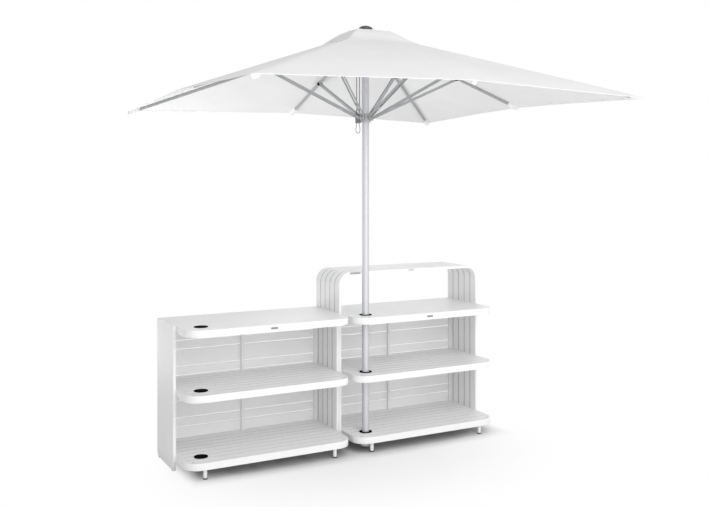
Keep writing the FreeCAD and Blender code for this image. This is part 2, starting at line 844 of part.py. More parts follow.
def rib(index):
    """Bar with a tongue that hinges in the crown."""
    body = new_body(f"rib_{index + 1}")
    length = repr(kind_of(index).length)
    bar = box_corners("rib_start", length, "0 - rib_height / 2", "rib_height / 2")
    pad(body, sketch(body, "XZ_Plane", [bar]), "rib_width", symmetric=True)
    tongue = [
        ("0 - tongue_radius", "0 - tongue_radius", "tongue_radius"),
        ("rib_start", "0 - tongue_radius"),
        ("rib_start", "tongue_radius"),
        ("0 - tongue_radius", "tongue_radius", "tongue_radius"),
    ]
    pad(body, sketch(body, "XZ_Plane", [tongue]), "tongue_width", symmetric=True)
    hole = sketch(body, "XZ_Plane", circles=[("0", "0", "pin_radius + pin_fit")])
    pocket(body, hole, "tongue_width + overrun", symmetric=True)
    aim(body, index, "crown_pin_ring", "crown_level", kind_of(index).slope)


def strut(index):
    """Fork of two flat bars, joined by one spacer, that straddles its rib at the far end."""
    body = new_body(f"strut_{index + 1}")
    length = repr(kind_of(index).strut)
    half = "strut_height / 2"
    tip = f"{length} + {half}"
    ends = box_corners(f"0 - {half}", tip, f"0 - {half}", half)
    bar = [(x, z, half) for x, z in ends]
    pad(body, sketch(body, "XZ_Plane", [bar]), FORK_WIDTH, symmetric=True)
    rivet = sketch(body, "XZ_Plane", circles=[(length, "0", "rivet_radius")])
    pad(body, rivet, f"{FORK_WIDTH} + 2 * rivet_head", symmetric=True)
    low, high = "0 - strut_height", "strut_height"
    near = box_corners(f"{low} - overrun", "spacer_place", low, high)
    far = box_corners("spacer_place + spacer_length", f"{tip} + overrun", low, high)
    pocket(body, sketch(body, "XZ_Plane", [near, far]), FORK_GAP, symmetric=True)
    hole = sketch(body, "XZ_Plane", circles=[("0", "0", "pin_radius + pin_fit")])
    pocket(body, hole, f"{FORK_WIDTH} + overrun", symmetric=True)
    aim(body, index, "runner_pin_ring", "runner_level", -kind_of(index).strut_rise)


# Parasol: canopy

HALF_GORE = math.tan(math.pi / value("rib_count"))
CLOTH_APEX = max(SIDE.cloth_apex, CORNER.cloth_apex)


def cloth_height(x, y):
    """Height of the underside of the stretched canopy: flat gores between neighbouring ribs."""
    along, across = max(abs(x), abs(y)), min(abs(x), abs(y))
    half = value("canopy_half")
    fall = (SIDE.cloth_tip - CLOTH_APEX) * along / half
    return CLOTH_APEX + fall + (CORNER.cloth_tip - SIDE.cloth_tip) * across / half


def cloth_point(x, y):
    """A point of the canopy's underside."""
    return Vector(x, y, cloth_height(x, y))


def closed_sheet(quads, thickness):
    """Solid of even height over neighbouring flat quads that share their edges."""
    lift = Vector(0, 0, thickness)
    faces = []
    open_edges = {}
    for quad in quads:
        faces.append(Part.Face(Part.makePolygon(quad + quad[:1])))
        faces.append(Part.Face(Part.makePolygon([spot + lift for spot in quad + quad[:1]])))
        for start, end in zip(quad, quad[1:] + quad[:1]):
            if open_edges.pop((tuple(end), tuple(start)), None) is None:
                open_edges[(tuple(start), tuple(end))] = (start, end)
    for start, end in open_edges.values():
        faces.append(Part.Face(Part.makePolygon([start, end, end + lift, start + lift, start])))
    return Part.makeSolid(Part.makeShell(faces))


def canopy_piece(index):
    """Stretched cloth over one rib, from the vent to the hem and half way to both neighbours."""
    inner, outer = value("vent_half"), value("canopy_half")
    seam = value("seam_gap") / 2 / math.cos(math.pi / value("rib_count"))
    if kind_of(index) is SIDE:
        rim = [(1, -HALF_GORE, seam), (1, 0, 0), (1, HALF_GORE, -seam)]
        spots = [[(size * a, size * b + shift) for a, b, shift in rim] for size in (inner, outer)]
    else:
        spots = []
        for size in (inner, outer):
            edge = size * HALF_GORE + seam
            spots.append([(size, edge), (size, size), (edge, size)])
    low, high = [[cloth_point(x, y) for x, y in row] for row in spots]
    quads = [[low[0], high[0], high[1], low[1]], [low[1], high[1], high[2], low[2]]]
    piece = doc.addObject("Part::Feature", f"canopy_{index + 1}")
    piece.Label = f"canopy_{index + 1}"
    piece.Shape = closed_sheet(quads, value("cloth_thick"))
    piece.Placement = Placement(Vector(), Rotation(Vector(0, 0, 1), bearing(index - index % 2)))
    nodes.append(piece)


# Parasol: ropes


def rope_spot(radius):
    """Place in plan at a distance from the pole on the ropes' side."""
    return Rotation(Vector(0, 0, 1), value("rope_bearing")).multVec(Vector(value(radius), 0, 0))


def rope_cleat(label):
    """Block on the runner that the ropes pass through."""
    block = doc.addObject("Part::Box", "cleat_block")
    block.setExpression("Length", bound("cleat_reach"))
    block.setExpression("Width", bound("cleat_width"))
    block.setExpression("Height", bound(f"{CLEAT_TOP} - {CLEAT_FOOT}"))
    turn = Rotation(Vector(0, 0, 1), value("rope_bearing"))
    side = turn.multVec(Vector(0, -value("cleat_width") / 2, 0))
    block.Placement = Placement(side + Vector(0, 0, value(CLEAT_FOOT)), turn)
    core = doc.addObject("Part::Cylinder", "cleat_core")
    core.setExpression("Radius", bound("runner_radius + cleat_fit"))
    core.setExpression("Height", bound(f"{CLEAT_TOP} - {CLEAT_FOOT} + 2 * overrun"))
    place(core, z=f"{CLEAT_FOOT} - overrun")
    cleat = doc.addObject("Part::Cut", label)
    cleat.Label = label
    cleat.Base = block
    cleat.Tool = core
    nodes.append(cleat)


def rope_strands(label):
    """Two taut strands from the crown to the cleat."""
    strands = []
    length = f"crown_level - crown_depth / 2 - {CLEAT_TOP} - 2 * seat_gap"
    foot = Vector(0, 0, value(f"{CLEAT_TOP} + seat_gap"))
    for radius in ("near_rope", "far_rope"):
        strand = doc.addObject("Part::Cylinder", radius + "_strand")
        strand.setExpression("Radius", bound("rope_radius"))
        strand.setExpression("Height", bound(length))
        strand.Placement = Placement(rope_spot(radius) + foot, Rotation())
        strands.append(strand)
    group(label, strands)


def cord_wire(points):
    """Straight runs joined by tangent arcs as large as the runs allow, and the arcs' radii."""
    run_share = 0.45
    edges = []
    radii = []
    reached = points[0]
    for before, here, after in zip(points, points[1:], points[2:]):
        inward, onward = (before - here), (after - here)
        half_turn = (math.pi - inward.getAngle(onward)) / 2
        reach = run_share * min(inward.Length, onward.Length)
        radii.append(reach / math.tan(half_turn))
        start = here + inward.normalize() * reach
        end = here + onward.normalize() * reach
        bisector = (inward + onward).normalize()
        middle = here + bisector * (radii[-1] / math.cos(half_turn) - radii[-1])
        edges.append(Part.LineSegment(reached, start).toShape())
        edges.append(Part.Arc(start, middle, end).toShape())
        reached = end
    edges.append(Part.LineSegment(reached, points[-1]).toShape())
    return Part.Wire(edges), radii


def rope_loop(label):
    """Limp loop of rope that hangs from the cleat."""
    out = rope_spot("loop_centre").normalize()
    centre = rope_spot("loop_centre") + Vector(0, 0, value(f"{CLEAT_FOOT} - seat_gap"))
    points = [centre + out * beside + Vector(0, 0, below) for beside, below in LOOP_ROUTE]
    wire, radii = cord_wire(points)
    radius = value("loop_radius")
    ring = Part.Wire(Part.makeCircle(radius, points[0], points[1] - points[0]))
    loop = doc.addObject("Part::Feature", label)
    loop.Label = label
    loop.Shape = wire.makePipeShell([ring], True, False)
    nodes.append(loop)
    expected = math.pi * radius**2 * wire.Length
    print("rope loop radii", [round(item, 1) for item in radii])
    print("rope loop volume ratio", loop.Shape.Volume / expected)


smooth_panel("low_left_panel")
slat_panel("low_right_panel", LOW_X, INNER_RIGHT, f"({LOW_HEIGHT} - board_thick)", BOLT_LEVELS)
slat_panel("high_left_panel", HIGH_X, "0", "high_height", BOLT_LEVELS)
slat_panel("high_right_panel", HIGH_X, INNER_RIGHT, "high_height")
arch("high_arch")
top_board("low_top", LOW_X, LOW_HEIGHT, covers_panels=True)
top_board("high_top", HIGH_X, "high_height", covers_panels=False)
for module, module_x, height in (("low", LOW_X, LOW_HEIGHT), ("high", HIGH_X, "high_height")):
    shelf_frames(module + "_shelf_frames", module_x)
    shelf_planks(module + "_shelf_planks", module_x)
    back_boards(module + "_back_boards", module_x, height)
    back_posts(module + "_back_posts", module_x, height)
front_legs("front_legs")
floor_pads("floor_pads")
link_bolts("link_bolts")
oval_plates("oval_plates")
group("pole_collars", [collar(height) for height in ("high_height", "middle_height", "bottom_height")])
hole_cap("cap_top", LOW_HEIGHT)
hole_cap("cap_middle", "middle_height")
hole_cap("cap_bottom", "bottom_height")
pole_socket("pole_socket")
pole("pole")
crown("crown")
hinge_pins("crown_pins", "crown_pin_ring", CROWN_PIN_LENGTH, "crown_level")
finial("finial")
vent_flap("vent_flap")
runner("runner")
hinge_pins("runner_pins", "runner_pin_ring", FORK_WIDTH, "runner_level")
for number in range(int(value("rib_count"))):
    rib(number)
    strut(number)
    canopy_piece(number)
rope_cleat("rope_cleat")
rope_strands("rope_strands")
rope_loop("rope_loop")
doc.recompute()

for item in doc.Objects:
    if "Invalid" in item.State or "Error" in item.State:
        raise RuntimeError(f"{item.Label} did not recompute: {item.State}")
for node in nodes:
    if node.Shape.isNull() or not node.Shape.isValid():
        raise RuntimeError(f"{node.Label} has no valid shape")

print("runner travel", round(runner_travel(), 3))
for title, kind in (("side", SIDE), ("corner", CORNER)):
    angles = [math.degrees(angle) for angle in (kind.slope, kind.strut_rise)]
    angles += [math.degrees(angle) for angle in kind.fold_at(runner_travel())]
    print(title, "rib slope, strut rise, folds of both:", [round(angle, 4) for angle in angles])
    lengths = (kind.length, kind.joint, kind.strut)
    print(title, "rib length, joint, strut:", [round(length, 2) for length in lengths])

os.makedirs("parts", exist_ok=True)
for node in nodes:
    node.Shape.exportStep(f"parts/{node.Label}.step")
print(len(nodes), "sub-parts written")
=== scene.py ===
"""Look of a two-module bar counter and its square folding parasol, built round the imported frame."""
import logging
import math
from collections.abc import Iterable
from dataclasses import dataclass
from enum import Enum

import bmesh
import bpy
from mathutils import Matrix, Vector


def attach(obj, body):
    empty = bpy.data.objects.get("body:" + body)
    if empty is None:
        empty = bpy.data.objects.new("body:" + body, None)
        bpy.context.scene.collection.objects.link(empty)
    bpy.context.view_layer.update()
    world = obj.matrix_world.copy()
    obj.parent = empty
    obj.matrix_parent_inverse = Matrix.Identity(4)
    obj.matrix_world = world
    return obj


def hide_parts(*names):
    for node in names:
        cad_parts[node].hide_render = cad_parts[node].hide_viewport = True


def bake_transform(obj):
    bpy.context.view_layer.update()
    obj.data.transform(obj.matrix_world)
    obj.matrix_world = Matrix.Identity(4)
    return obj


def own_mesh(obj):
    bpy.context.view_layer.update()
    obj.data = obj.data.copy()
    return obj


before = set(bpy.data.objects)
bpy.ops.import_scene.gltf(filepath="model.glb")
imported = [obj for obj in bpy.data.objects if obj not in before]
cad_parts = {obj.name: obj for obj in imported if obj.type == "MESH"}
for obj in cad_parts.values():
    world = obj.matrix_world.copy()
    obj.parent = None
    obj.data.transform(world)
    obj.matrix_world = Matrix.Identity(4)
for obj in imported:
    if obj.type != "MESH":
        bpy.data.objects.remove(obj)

Colour = tuple[float, float, float]
Pair = tuple[float, float]
Place = tuple[float, float, float]
Shape = bmesh.types.BMesh
Socket = bpy.types.NodeSocket
Value = float | Colour | Socket
Values = dict[str | int, Value]

log = logging.getLogger("bar_counter")
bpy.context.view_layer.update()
UP = Vector((0.0, 0.0, 1.0))
MM = 0.001
RIBS = 8
RIB_ANGLE = 360.0 / RIBS
# Layer of a cloth's flat coordinates.
FLAT = "flat"
# Edges of new pieces that are sharper than this stay sharp in the shading.
SHARP = math.radians(50)
# Carried-over nodes are joined within this distance and softened at edges sharper than this.
WELD = 0.00002
SOFT_FROM = math.radians(40)
SOFT_STEPS = 2
# A mix node's two colour inputs and its colour output.
MIX_COLOURS = (6, 7)
MIX_RESULT = 2
# Noise of a board's broad tones and fine lines and of a cloth's threads, and the contrast of the tones.
BROAD = {"Scale": 3.2, "Detail": 4.0}
FINE = {"Detail": 3.0}
SLUB = {"Scale": 26.0, "Detail": 5.0}
TONES = (-0.6, 1.6)
# Depths of relief in metres, and the least share of Y in the normal of a joint's wall, where shade is
# painted.
BOARD_RELIEF = 0.0008
CLOTH_RELIEF = 0.0006
JOINT_FACING = 0.6
# Rows of stitches in a cloth's flat metres: distance from a rib and from a hem, and half a row's width.
RIDGE_ROW = 0.016
HEM_ROW = 0.034
ROW_HALF = 0.0012
# Angle of the stitches' wave in a metre, its level below which no thread shows, and the thread's strength.
STITCH_TURN = 1100.0
STITCH_GAP = -0.4
STITCH_SHARE = 0.45
# Flat coordinate that lies away from every row of stitches.
PLAIN = 0.2


class Grain(Enum):
    """Direction in which a board or bar shows its fine lines, as a stretch of its pattern."""

    EVEN = (1.0, 1.0, 1.0)
    ALONG_X = (0.04, 1.0, 1.0)
    ALONG_Z = (1.0, 1.0, 0.04)


@dataclass(frozen=True)
class Wiring:
    """Nodes of a material, of the world or of a group.

    Attributes:
        tree: The node tree.
    """

    tree: bpy.types.NodeTree

    def fill(self, slots: bpy.types.NodeInputs, values: Values) -> None:
        """Link or set some inputs of a node.

        Args:
            slots: The node's inputs.
            values: Names or numbers of inputs, each with a socket, a number, a colour or a vector.
        """
        for name, value in values.items():
            slot = slots[name]
            if isinstance(value, Socket):
                self.tree.links.new(value, slot)
            else:
                slot.default_value = (*value, 1.0) if slot.type == "RGBA" else value

    def add(self, kind: str, values: Values | None = None, **settings: object) -> bpy.types.Node:
        """Add a shader node.

        Args:
            kind: Its kind, without the start that all kinds share.
            values: Names or numbers of inputs, each with what goes in.
            settings: Settings of the node itself.

        Returns:
            The node.
        """
        node = self.tree.nodes.new("ShaderNode" + kind)
        for name, setting in settings.items():
            setattr(node, name, setting)
        self.fill(node.inputs, values or {})
        return node

    def calc(self, operation: str, *values: Value) -> Socket:
        """Add a math node on numbers or sockets, and give its output."""
        return self.add("Math", dict(enumerate(values)), operation=operation).outputs[0]

    def spread(self, value: Socket, low: Value, high: Value) -> Socket:
        """Map a pattern's 0 to 1 onto a range from low to high."""
        return self.add("MapRange", {"Value": value, "To Min": low, "To Max": high}).outputs[0]

    def mix(self, share: Socket, first: Value, second: Value) -> Socket:
        """Mix two colours by the share of the second."""
        colours = dict(zip(MIX_COLOURS, (first, second)))
        return self.add("Mix", {"Factor": share, **colours}, data_type="RGBA").outputs[MIX_RESULT]

    def parts(self, vector: Socket) -> bpy.types.NodeOutputs:
        """Split a vector into X, Y and Z."""
        return self.add("SeparateXYZ", {0: vector}).outputs

    def place(self) -> Socket:
        """Give the place on the piece, in the row frame."""
        return self.add("TexCoord").outputs["Object"]


def start_group(
    name: str, inputs: dict[str, str], outputs: dict[str, str]
) -> tuple[Wiring, bpy.types.NodeOutputs, bpy.types.NodeInputs]:
    """Start a node group.

    Args:
        name: Name of the group.
        inputs: Names of its inputs, each with its short socket kind.
        outputs: Names of its outputs, likewise.

    Returns:
        The group's nodes, the sockets to read from and the sockets to fill.
    """
    group = bpy.data.node_groups.new(name, "ShaderNodeTree")
    for way, sockets in (("INPUT", inputs), ("OUTPUT", outputs)):
        for label, kind in sockets.items():
            group.interface.new_socket(label, in_out=way, socket_type="NodeSocket" + kind)
    ins, outs = (group.nodes.new("NodeGroup" + side) for side in ("Input", "Output"))
    return Wiring(group), ins.outputs, outs.inputs


def surface_group() -> bpy.types.NodeTree:
    """Build the shared group of broad tone changes, fine lines and tooth that every finish carries.

    Returns:
        A group from a place on the piece to colour, roughness and height.
    """
    colours = {"Colour": "Color", "Shade Colour": "Color"}
    wiring, ins, outs = start_group(
        "board_surface",
        {"Place": "Vector", **colours, "Line Scale": "Float", "Smooth": "Float", "Rough": "Float"},
        {"Colour": "Color", "Roughness": "Float", "Height": "Float"},
    )
    place = {"Vector": ins["Place"]}
    broad = wiring.add("TexNoise", {**place, **BROAD}).outputs["Fac"]
    fine = wiring.add("TexNoise", {**place, **FINE, "Scale": ins["Line Scale"]}).outputs["Fac"]
    mean = wiring.calc("MULTIPLY", wiring.calc("ADD", broad, fine), 0.5)
    colour = wiring.mix(wiring.spread(mean, *TONES), ins["Colour"], ins["Shade Colour"])
    roughness = wiring.spread(mean, ins["Smooth"], ins["Rough"])
    wiring.fill(outs, {"Colour": colour, "Roughness": roughness, "Height": fine})
    return wiring.tree


def weave_group() -> bpy.types.NodeTree:
    """Build the plain weave with its stitch rows, from a cloth's own flat coordinates in metres.

    Returns:
        A group from flat coordinates to weave height, thread tone and stitch mask.
    """
    wiring, ins, outs = start_group(
        "cloth_weave",
        {"Flat": "Vector", "Threads": "Float"},
        {"Height": "Float", "Tone": "Float", "Stitch": "Float"},
    )
    parts = wiring.parts(ins["Flat"])
    across, along = parts["X"], parts["Y"]
    turn = wiring.calc("MULTIPLY", ins["Threads"], math.tau)
    warp, weft = (wiring.calc("SINE", wiring.calc("MULTIPLY", way, turn)) for way in (across, along))
    crossing = wiring.calc("MULTIPLY", warp, weft)
    height = wiring.spread(wiring.calc("ADD", crossing, 1.0), 0.0, 0.5)
    slub = wiring.add("TexNoise", {"Vector": ins["Flat"], **SLUB}).outputs["Fac"]
    rows = []
    beside_rib = wiring.calc("ABSOLUTE", across)
    for apart, row, onward in ((beside_rib, RIDGE_ROW, along), (along, HEM_ROW, across)):
        off = wiring.calc("ABSOLUTE", wiring.calc("SUBTRACT", apart, row))
        near = wiring.calc("LESS_THAN", off, ROW_HALF)
        wave = wiring.calc("SINE", wiring.calc("MULTIPLY", onward, STITCH_TURN))
        rows.append(wiring.calc("MULTIPLY", near, wiring.calc("GREATER_THAN", wave, STITCH_GAP)))
    wiring.fill(outs, {"Height": height, "Tone": slub, "Stitch": wiring.calc("MAXIMUM", *rows)})
    return wiring.tree


SURFACE = surface_group()
WEAVE = weave_group()


@dataclass(frozen=True)
class Finish:
    """One finish of the counter or the parasol.

    Attributes:
        name: Name of the material.
        colour: Main colour.
        shade: Colour that the broad tone changes go towards.
        smooth: Least roughness.
        rough: Greatest roughness.
        metallic: 1 for bare metal.
        lines: Scale of the fine pattern, per metre.
        grain: Direction of the fine pattern.
        tooth: Strength of the surface bump.
        specular: Level of the shader's reflections.
    """

    name: str
    colour: Colour
    shade: Colour
    smooth: float = 0.38
    rough: float = 0.55
    metallic: float = 0.0
    lines: float = 900.0
    grain: Grain = Grain.EVEN
    tooth: float = 0.05
    specular: float = 0.5

    def material(self) -> bpy.types.Material:
        """Build the material once.

        Returns:
            The material.
        """
        if self.name in bpy.data.materials:
            return bpy.data.materials[self.name]
        material = bpy.data.materials.new(self.name)
        material.use_nodes = True
        wiring = Wiring(material.node_tree)
        values = {"Metallic": self.metallic, "Specular IOR Level": self.specular, **self.paint(wiring)}
        wiring.fill(material.node_tree.nodes["Principled BSDF"].inputs, values)
        return material

    def paint(self, wiring: Wiring) -> Values:
        """Wire the finish's patterns.

        Args:
            wiring: Nodes of the material.

        Returns:
            Names of the shader's inputs, each with what goes in.
        """
        surface = self.surface(wiring)
        normal = self.bump(wiring, surface["Height"], BOARD_RELIEF)
        return {"Base Color": surface["Colour"], "Roughness": surface["Roughness"], "Normal": normal}

    def surface(self, wiring: Wiring) -> bpy.types.NodeOutputs:
        """Place the shared surface group in a material.

        Args:
            wiring: Nodes of the material.

        Returns:
            The group's colour, roughness and height.
        """
        stretch = wiring.add("Mapping", {"Vector": wiring.place(), "Scale": self.grain.value})
        values = {
            "Place": stretch.outputs["Vector"],
            "Colour": self.colour,
            "Shade Colour": self.shade,
            "Line Scale": self.lines,
            "Smooth": self.smooth,
            "Rough": self.rough,
        }
        return wiring.add("Group", values, node_tree=SURFACE).outputs

    def bump(self, wiring: Wiring, height: Socket, depth: float) -> Socket:
        """Turn a height into a normal, with the relief's depth in metres."""
        values = {"Strength": self.tooth, "Distance": depth, "Height": height}
        return wiring.add("Bump", values).outputs["Normal"]


@dataclass(frozen=True)
class SlatFinish(Finish):
    """Finish of slats or planks laid side by side, with shade painted into the walls of the joints that face
    along Y.

    Attributes:
        first: Y behind the front edge of the first slat.
        last: Y before the rear edge of the last slat.
        joint: Darker colour painted on the joints' walls as their shade.
    """

    first: float = -1.0
    last: float = 1.0
    joint: Colour = (0.58, 0.58, 0.58)

    def paint(self, wiring: Wiring) -> Values:
        """Wire the finish's patterns, and the painted shade of its joints over them.

        Args:
            wiring: Nodes of the material.

        Returns:
            Names of the shader's inputs, each with what goes in.
        """
        values = super().paint(wiring)
        # Painted shade: walls facing along Y, between the first and last slat, take the darker joint colour.
        normal = wiring.add("NewGeometry").outputs["True Normal"]
        facing = wiring.calc("ABSOLUTE", wiring.parts(normal)["Y"])
        wall = wiring.calc("GREATER_THAN", facing, JOINT_FACING)
        depth = wiring.parts(wiring.place())["Y"]
        behind = wiring.calc("GREATER_THAN", depth, self.first)
        before = wiring.calc("LESS_THAN", depth, self.last)
        mask = wiring.calc("MULTIPLY", wall, wiring.calc("MULTIPLY", behind, before))
        return {**values, "Base Color": wiring.mix(mask, values["Base Color"], self.joint)}


@dataclass(frozen=True)
class PlateFinish(Finish):
    """Finish of the oval plates, paler on the arch.

    Attributes:
        level: Height above which a plate is on the arch.
        pale: Colour there.
    """

    level: float = 1.2
    pale: Colour = (0.62, 0.62, 0.625)

    def paint(self, wiring: Wiring) -> Values:
        """Wire the finish's patterns, and the paler colour over them.

        Args:
            wiring: Nodes of the material.

        Returns:
            Names of the shader's inputs, each with what goes in.
        """
        values = super().paint(wiring)
        mask = wiring.calc("GREATER_THAN", wiring.parts(wiring.place())["Z"], self.level)
        return {**values, "Base Color": wiring.mix(mask, values["Base Color"], self.pale)}


@dataclass(frozen=True)
class ClothFinish(Finish):
    """Woven cloth whose threads and stitches follow the piece's own flat coordinates.

    Attributes:
        threads: Threads per metre.
        sheen: Strength of the soft light on the fibres.
    """

    threads: float = 520.0
    sheen: float = 0.25

    def paint(self, wiring: Wiring) -> Values:
        """Wire the weave and its stitches.

        Args:
            wiring: Nodes of the material.

        Returns:
            Names of the shader's inputs, each with what goes in.
        """
        flat = wiring.add("UVMap", uv_map=FLAT).outputs["UV"]
        weave = wiring.add("Group", {"Flat": flat, "Threads": self.threads}, node_tree=WEAVE).outputs
        thread = wiring.calc("MULTIPLY", weave["Stitch"], STITCH_SHARE)
        relief = wiring.calc("SUBTRACT", weave["Height"], weave["Stitch"])
        return {
            "Base Color": wiring.mix(thread, self.surface(wiring)["Colour"], self.shade),
            "Roughness": wiring.spread(weave["Tone"], self.smooth, self.rough),
            "Normal": self.bump(wiring, relief, CLOTH_RELIEF),
            "Sheen Weight": self.sheen,
        }


WHITE: Colour = (0.92, 0.92, 0.92)
WHITE_SHADE: Colour = (0.88, 0.88, 0.885)

# Painted shade: the boards, tops and left panel are the same white as the slats, painted darker so that their
# lit front edges and outer face stay below white.
SHADED_BOARD = Finish("shaded_white_board", (0.868, 0.868, 0.868), (0.83, 0.83, 0.835), lines=700.0)
# The joint colours of the slats and planks are painted shade in the gaps between them.
SLAT = SlatFinish(
    "white_slat", WHITE, WHITE_SHADE, grain=Grain.ALONG_Z, lines=650.0, tooth=0.10, specular=0.36,
    first=0.142, last=0.568, joint=(0.34, 0.34, 0.34),
)
PLANK = SlatFinish("white_plank", WHITE, WHITE_SHADE, grain=Grain.ALONG_X, lines=650.0, tooth=0.10)
BACK = Finish("white_back_board", WHITE, WHITE_SHADE, grain=Grain.ALONG_X, lines=520.0, tooth=0.10)
POST = Finish(
    "white_powder_coat", (0.88, 0.88, 0.88), (0.84, 0.84, 0.84), 0.30, 0.45, lines=1500.0, tooth=0.12
)
RUBBER = Finish("dull_rubber", (0.035, 0.035, 0.036), (0.055, 0.054, 0.053), 0.7, 0.9, tooth=0.2)
STEEL = Finish(
    "brushed_steel", (0.52, 0.53, 0.54), (0.44, 0.45, 0.46), 0.28, 0.42, 1.0, 1200.0, Grain.ALONG_X
)
PLATE = PlateFinish("satin_grey_plate", (0.30, 0.30, 0.305), (0.26, 0.26, 0.265), 0.24, 0.36, tooth=0.02)
LONG_PLATE = Finish("satin_pale_plate", (0.46, 0.46, 0.465), (0.42, 0.42, 0.425), 0.24, 0.36, tooth=0.02)
BLACK = Finish(
    "moulded_black", (0.002, 0.002, 0.002), (0.004, 0.004, 0.004), 0.60, 0.75,
    lines=1600.0, tooth=0.16, specular=0.01,
)
CLEAT = Finish(
    "moulded_charcoal", (0.19, 0.19, 0.195), (0.22, 0.22, 0.225), 0.5, 0.65,
    lines=1600.0, tooth=0.16, specular=0.3,
)
POLE = Finish(
    "pale_anodised", (0.60, 0.60, 0.63), (0.55, 0.55, 0.58), 0.42, 0.54, 0.65, grain=Grain.ALONG_Z
)
HUB = Finish(
    "moulded_grey", (0.46, 0.465, 0.475), (0.42, 0.425, 0.435), 0.42, 0.58, lines=1500.0, tooth=0.14
)
FINIAL = Finish(
    "moulded_dark_grey", (0.050, 0.050, 0.053), (0.07, 0.07, 0.073), 0.36, 0.5, lines=1500.0, tooth=0.14
)
BAR = Finish("grey_satin_bar", (0.44, 0.445, 0.455), (0.40, 0.405, 0.415), 0.38, 0.50, 0.30)
CLOTH = ClothFinish(
    "white_canopy_cloth", (0.88, 0.88, 0.88), (0.81, 0.81, 0.815), 0.72, 0.88, lines=60.0, tooth=0.22
)
TIP = ClothFinish(
    "white_tip_patch", (0.93, 0.93, 0.93), (0.90, 0.90, 0.90), 0.55, 0.70, lines=60.0, tooth=0.22
)
ROPE = ClothFinish(
    "dark_braided_rope", (0.10, 0.10, 0.105), (0.05, 0.05, 0.052), 0.7, 0.9,
    lines=300.0, tooth=0.8, threads=250.0,
)


def outward(bearing: float) -> Vector:
    """Give the level direction away from the pole at a bearing in degrees."""
    return Vector((math.cos(math.radians(bearing)), math.sin(math.radians(bearing)), 0.0))


def finish_piece(piece: bpy.types.Object, finish: Finish, body: str) -> bpy.types.Object:
    """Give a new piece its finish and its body.

    Args:
        piece: The piece.
        finish: Its finish.
        body: Body that it moves with, or an empty text for a piece between two bodies.

    Returns:
        The piece.
    """
    piece.data.materials.append(finish.material())
    if body:
        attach(piece, body)
    log.info("%s on %s", piece.name, body or "two bodies")
    return piece


def to_object(name: str, shape: Shape, smooth: bool = True) -> bpy.types.Object:
    """Turn a bmesh into an object in the scene.

    Args:
        name: Name of the piece.
        shape: The bmesh, which is freed.
        smooth: True for smooth shading between sharp edges.

    Returns:
        The new object.
    """
    mesh = bpy.data.meshes.new(name)
    for face in shape.faces:
        face.smooth = smooth
    for edge in shape.edges:
        edge.smooth = edge.calc_face_angle(0.0) < SHARP
    shape.to_mesh(mesh)
    shape.free()
    piece = bpy.data.objects.new(name, mesh)
    bpy.context.scene.collection.objects.link(piece)
    return piece


def round_edges(shape: Shape, edges: list[bmesh.types.BMEdge], width: float, steps: int) -> None:
    """Round some edges of a shape and turn its faces outwards.

    Args:
        shape: The shape.
        edges: The edges.
        width: Width of the rounding.
        steps: Count of its faces.
    """
    bmesh.ops.bevel(shape, geom=edges, offset=width, segments=steps, profile=0.5, affect="EDGES", material=-1)
    bmesh.ops.recalc_face_normals(shape, faces=shape.faces)


def dress(names: Iterable[str], finish: Finish, edge: float = 0.0) -> None:
    """Give carried-over nodes their finish and, where asked, softened edges.

    Args:
        names: Names of the nodes.
        finish: Their finish.
        edge: Width of the softened edges in metres, or 0.
    """
    for name in names:
        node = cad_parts[name]
        node.data.materials.clear()
        node.data.materials.append(finish.material())
        if edge:
            weld = node.modifiers.new("join", "WELD")
            weld.merge_threshold = WELD
            soft = node.modifiers.new("soft_edge", "BEVEL")
            soft.width = edge
            soft.segments = SOFT_STEPS
            soft.limit_method = "ANGLE"
            soft.angle_limit = SOFT_FROM
            soft.harden_normals = True
        log.info("%s dressed in %s", name, finish.name)


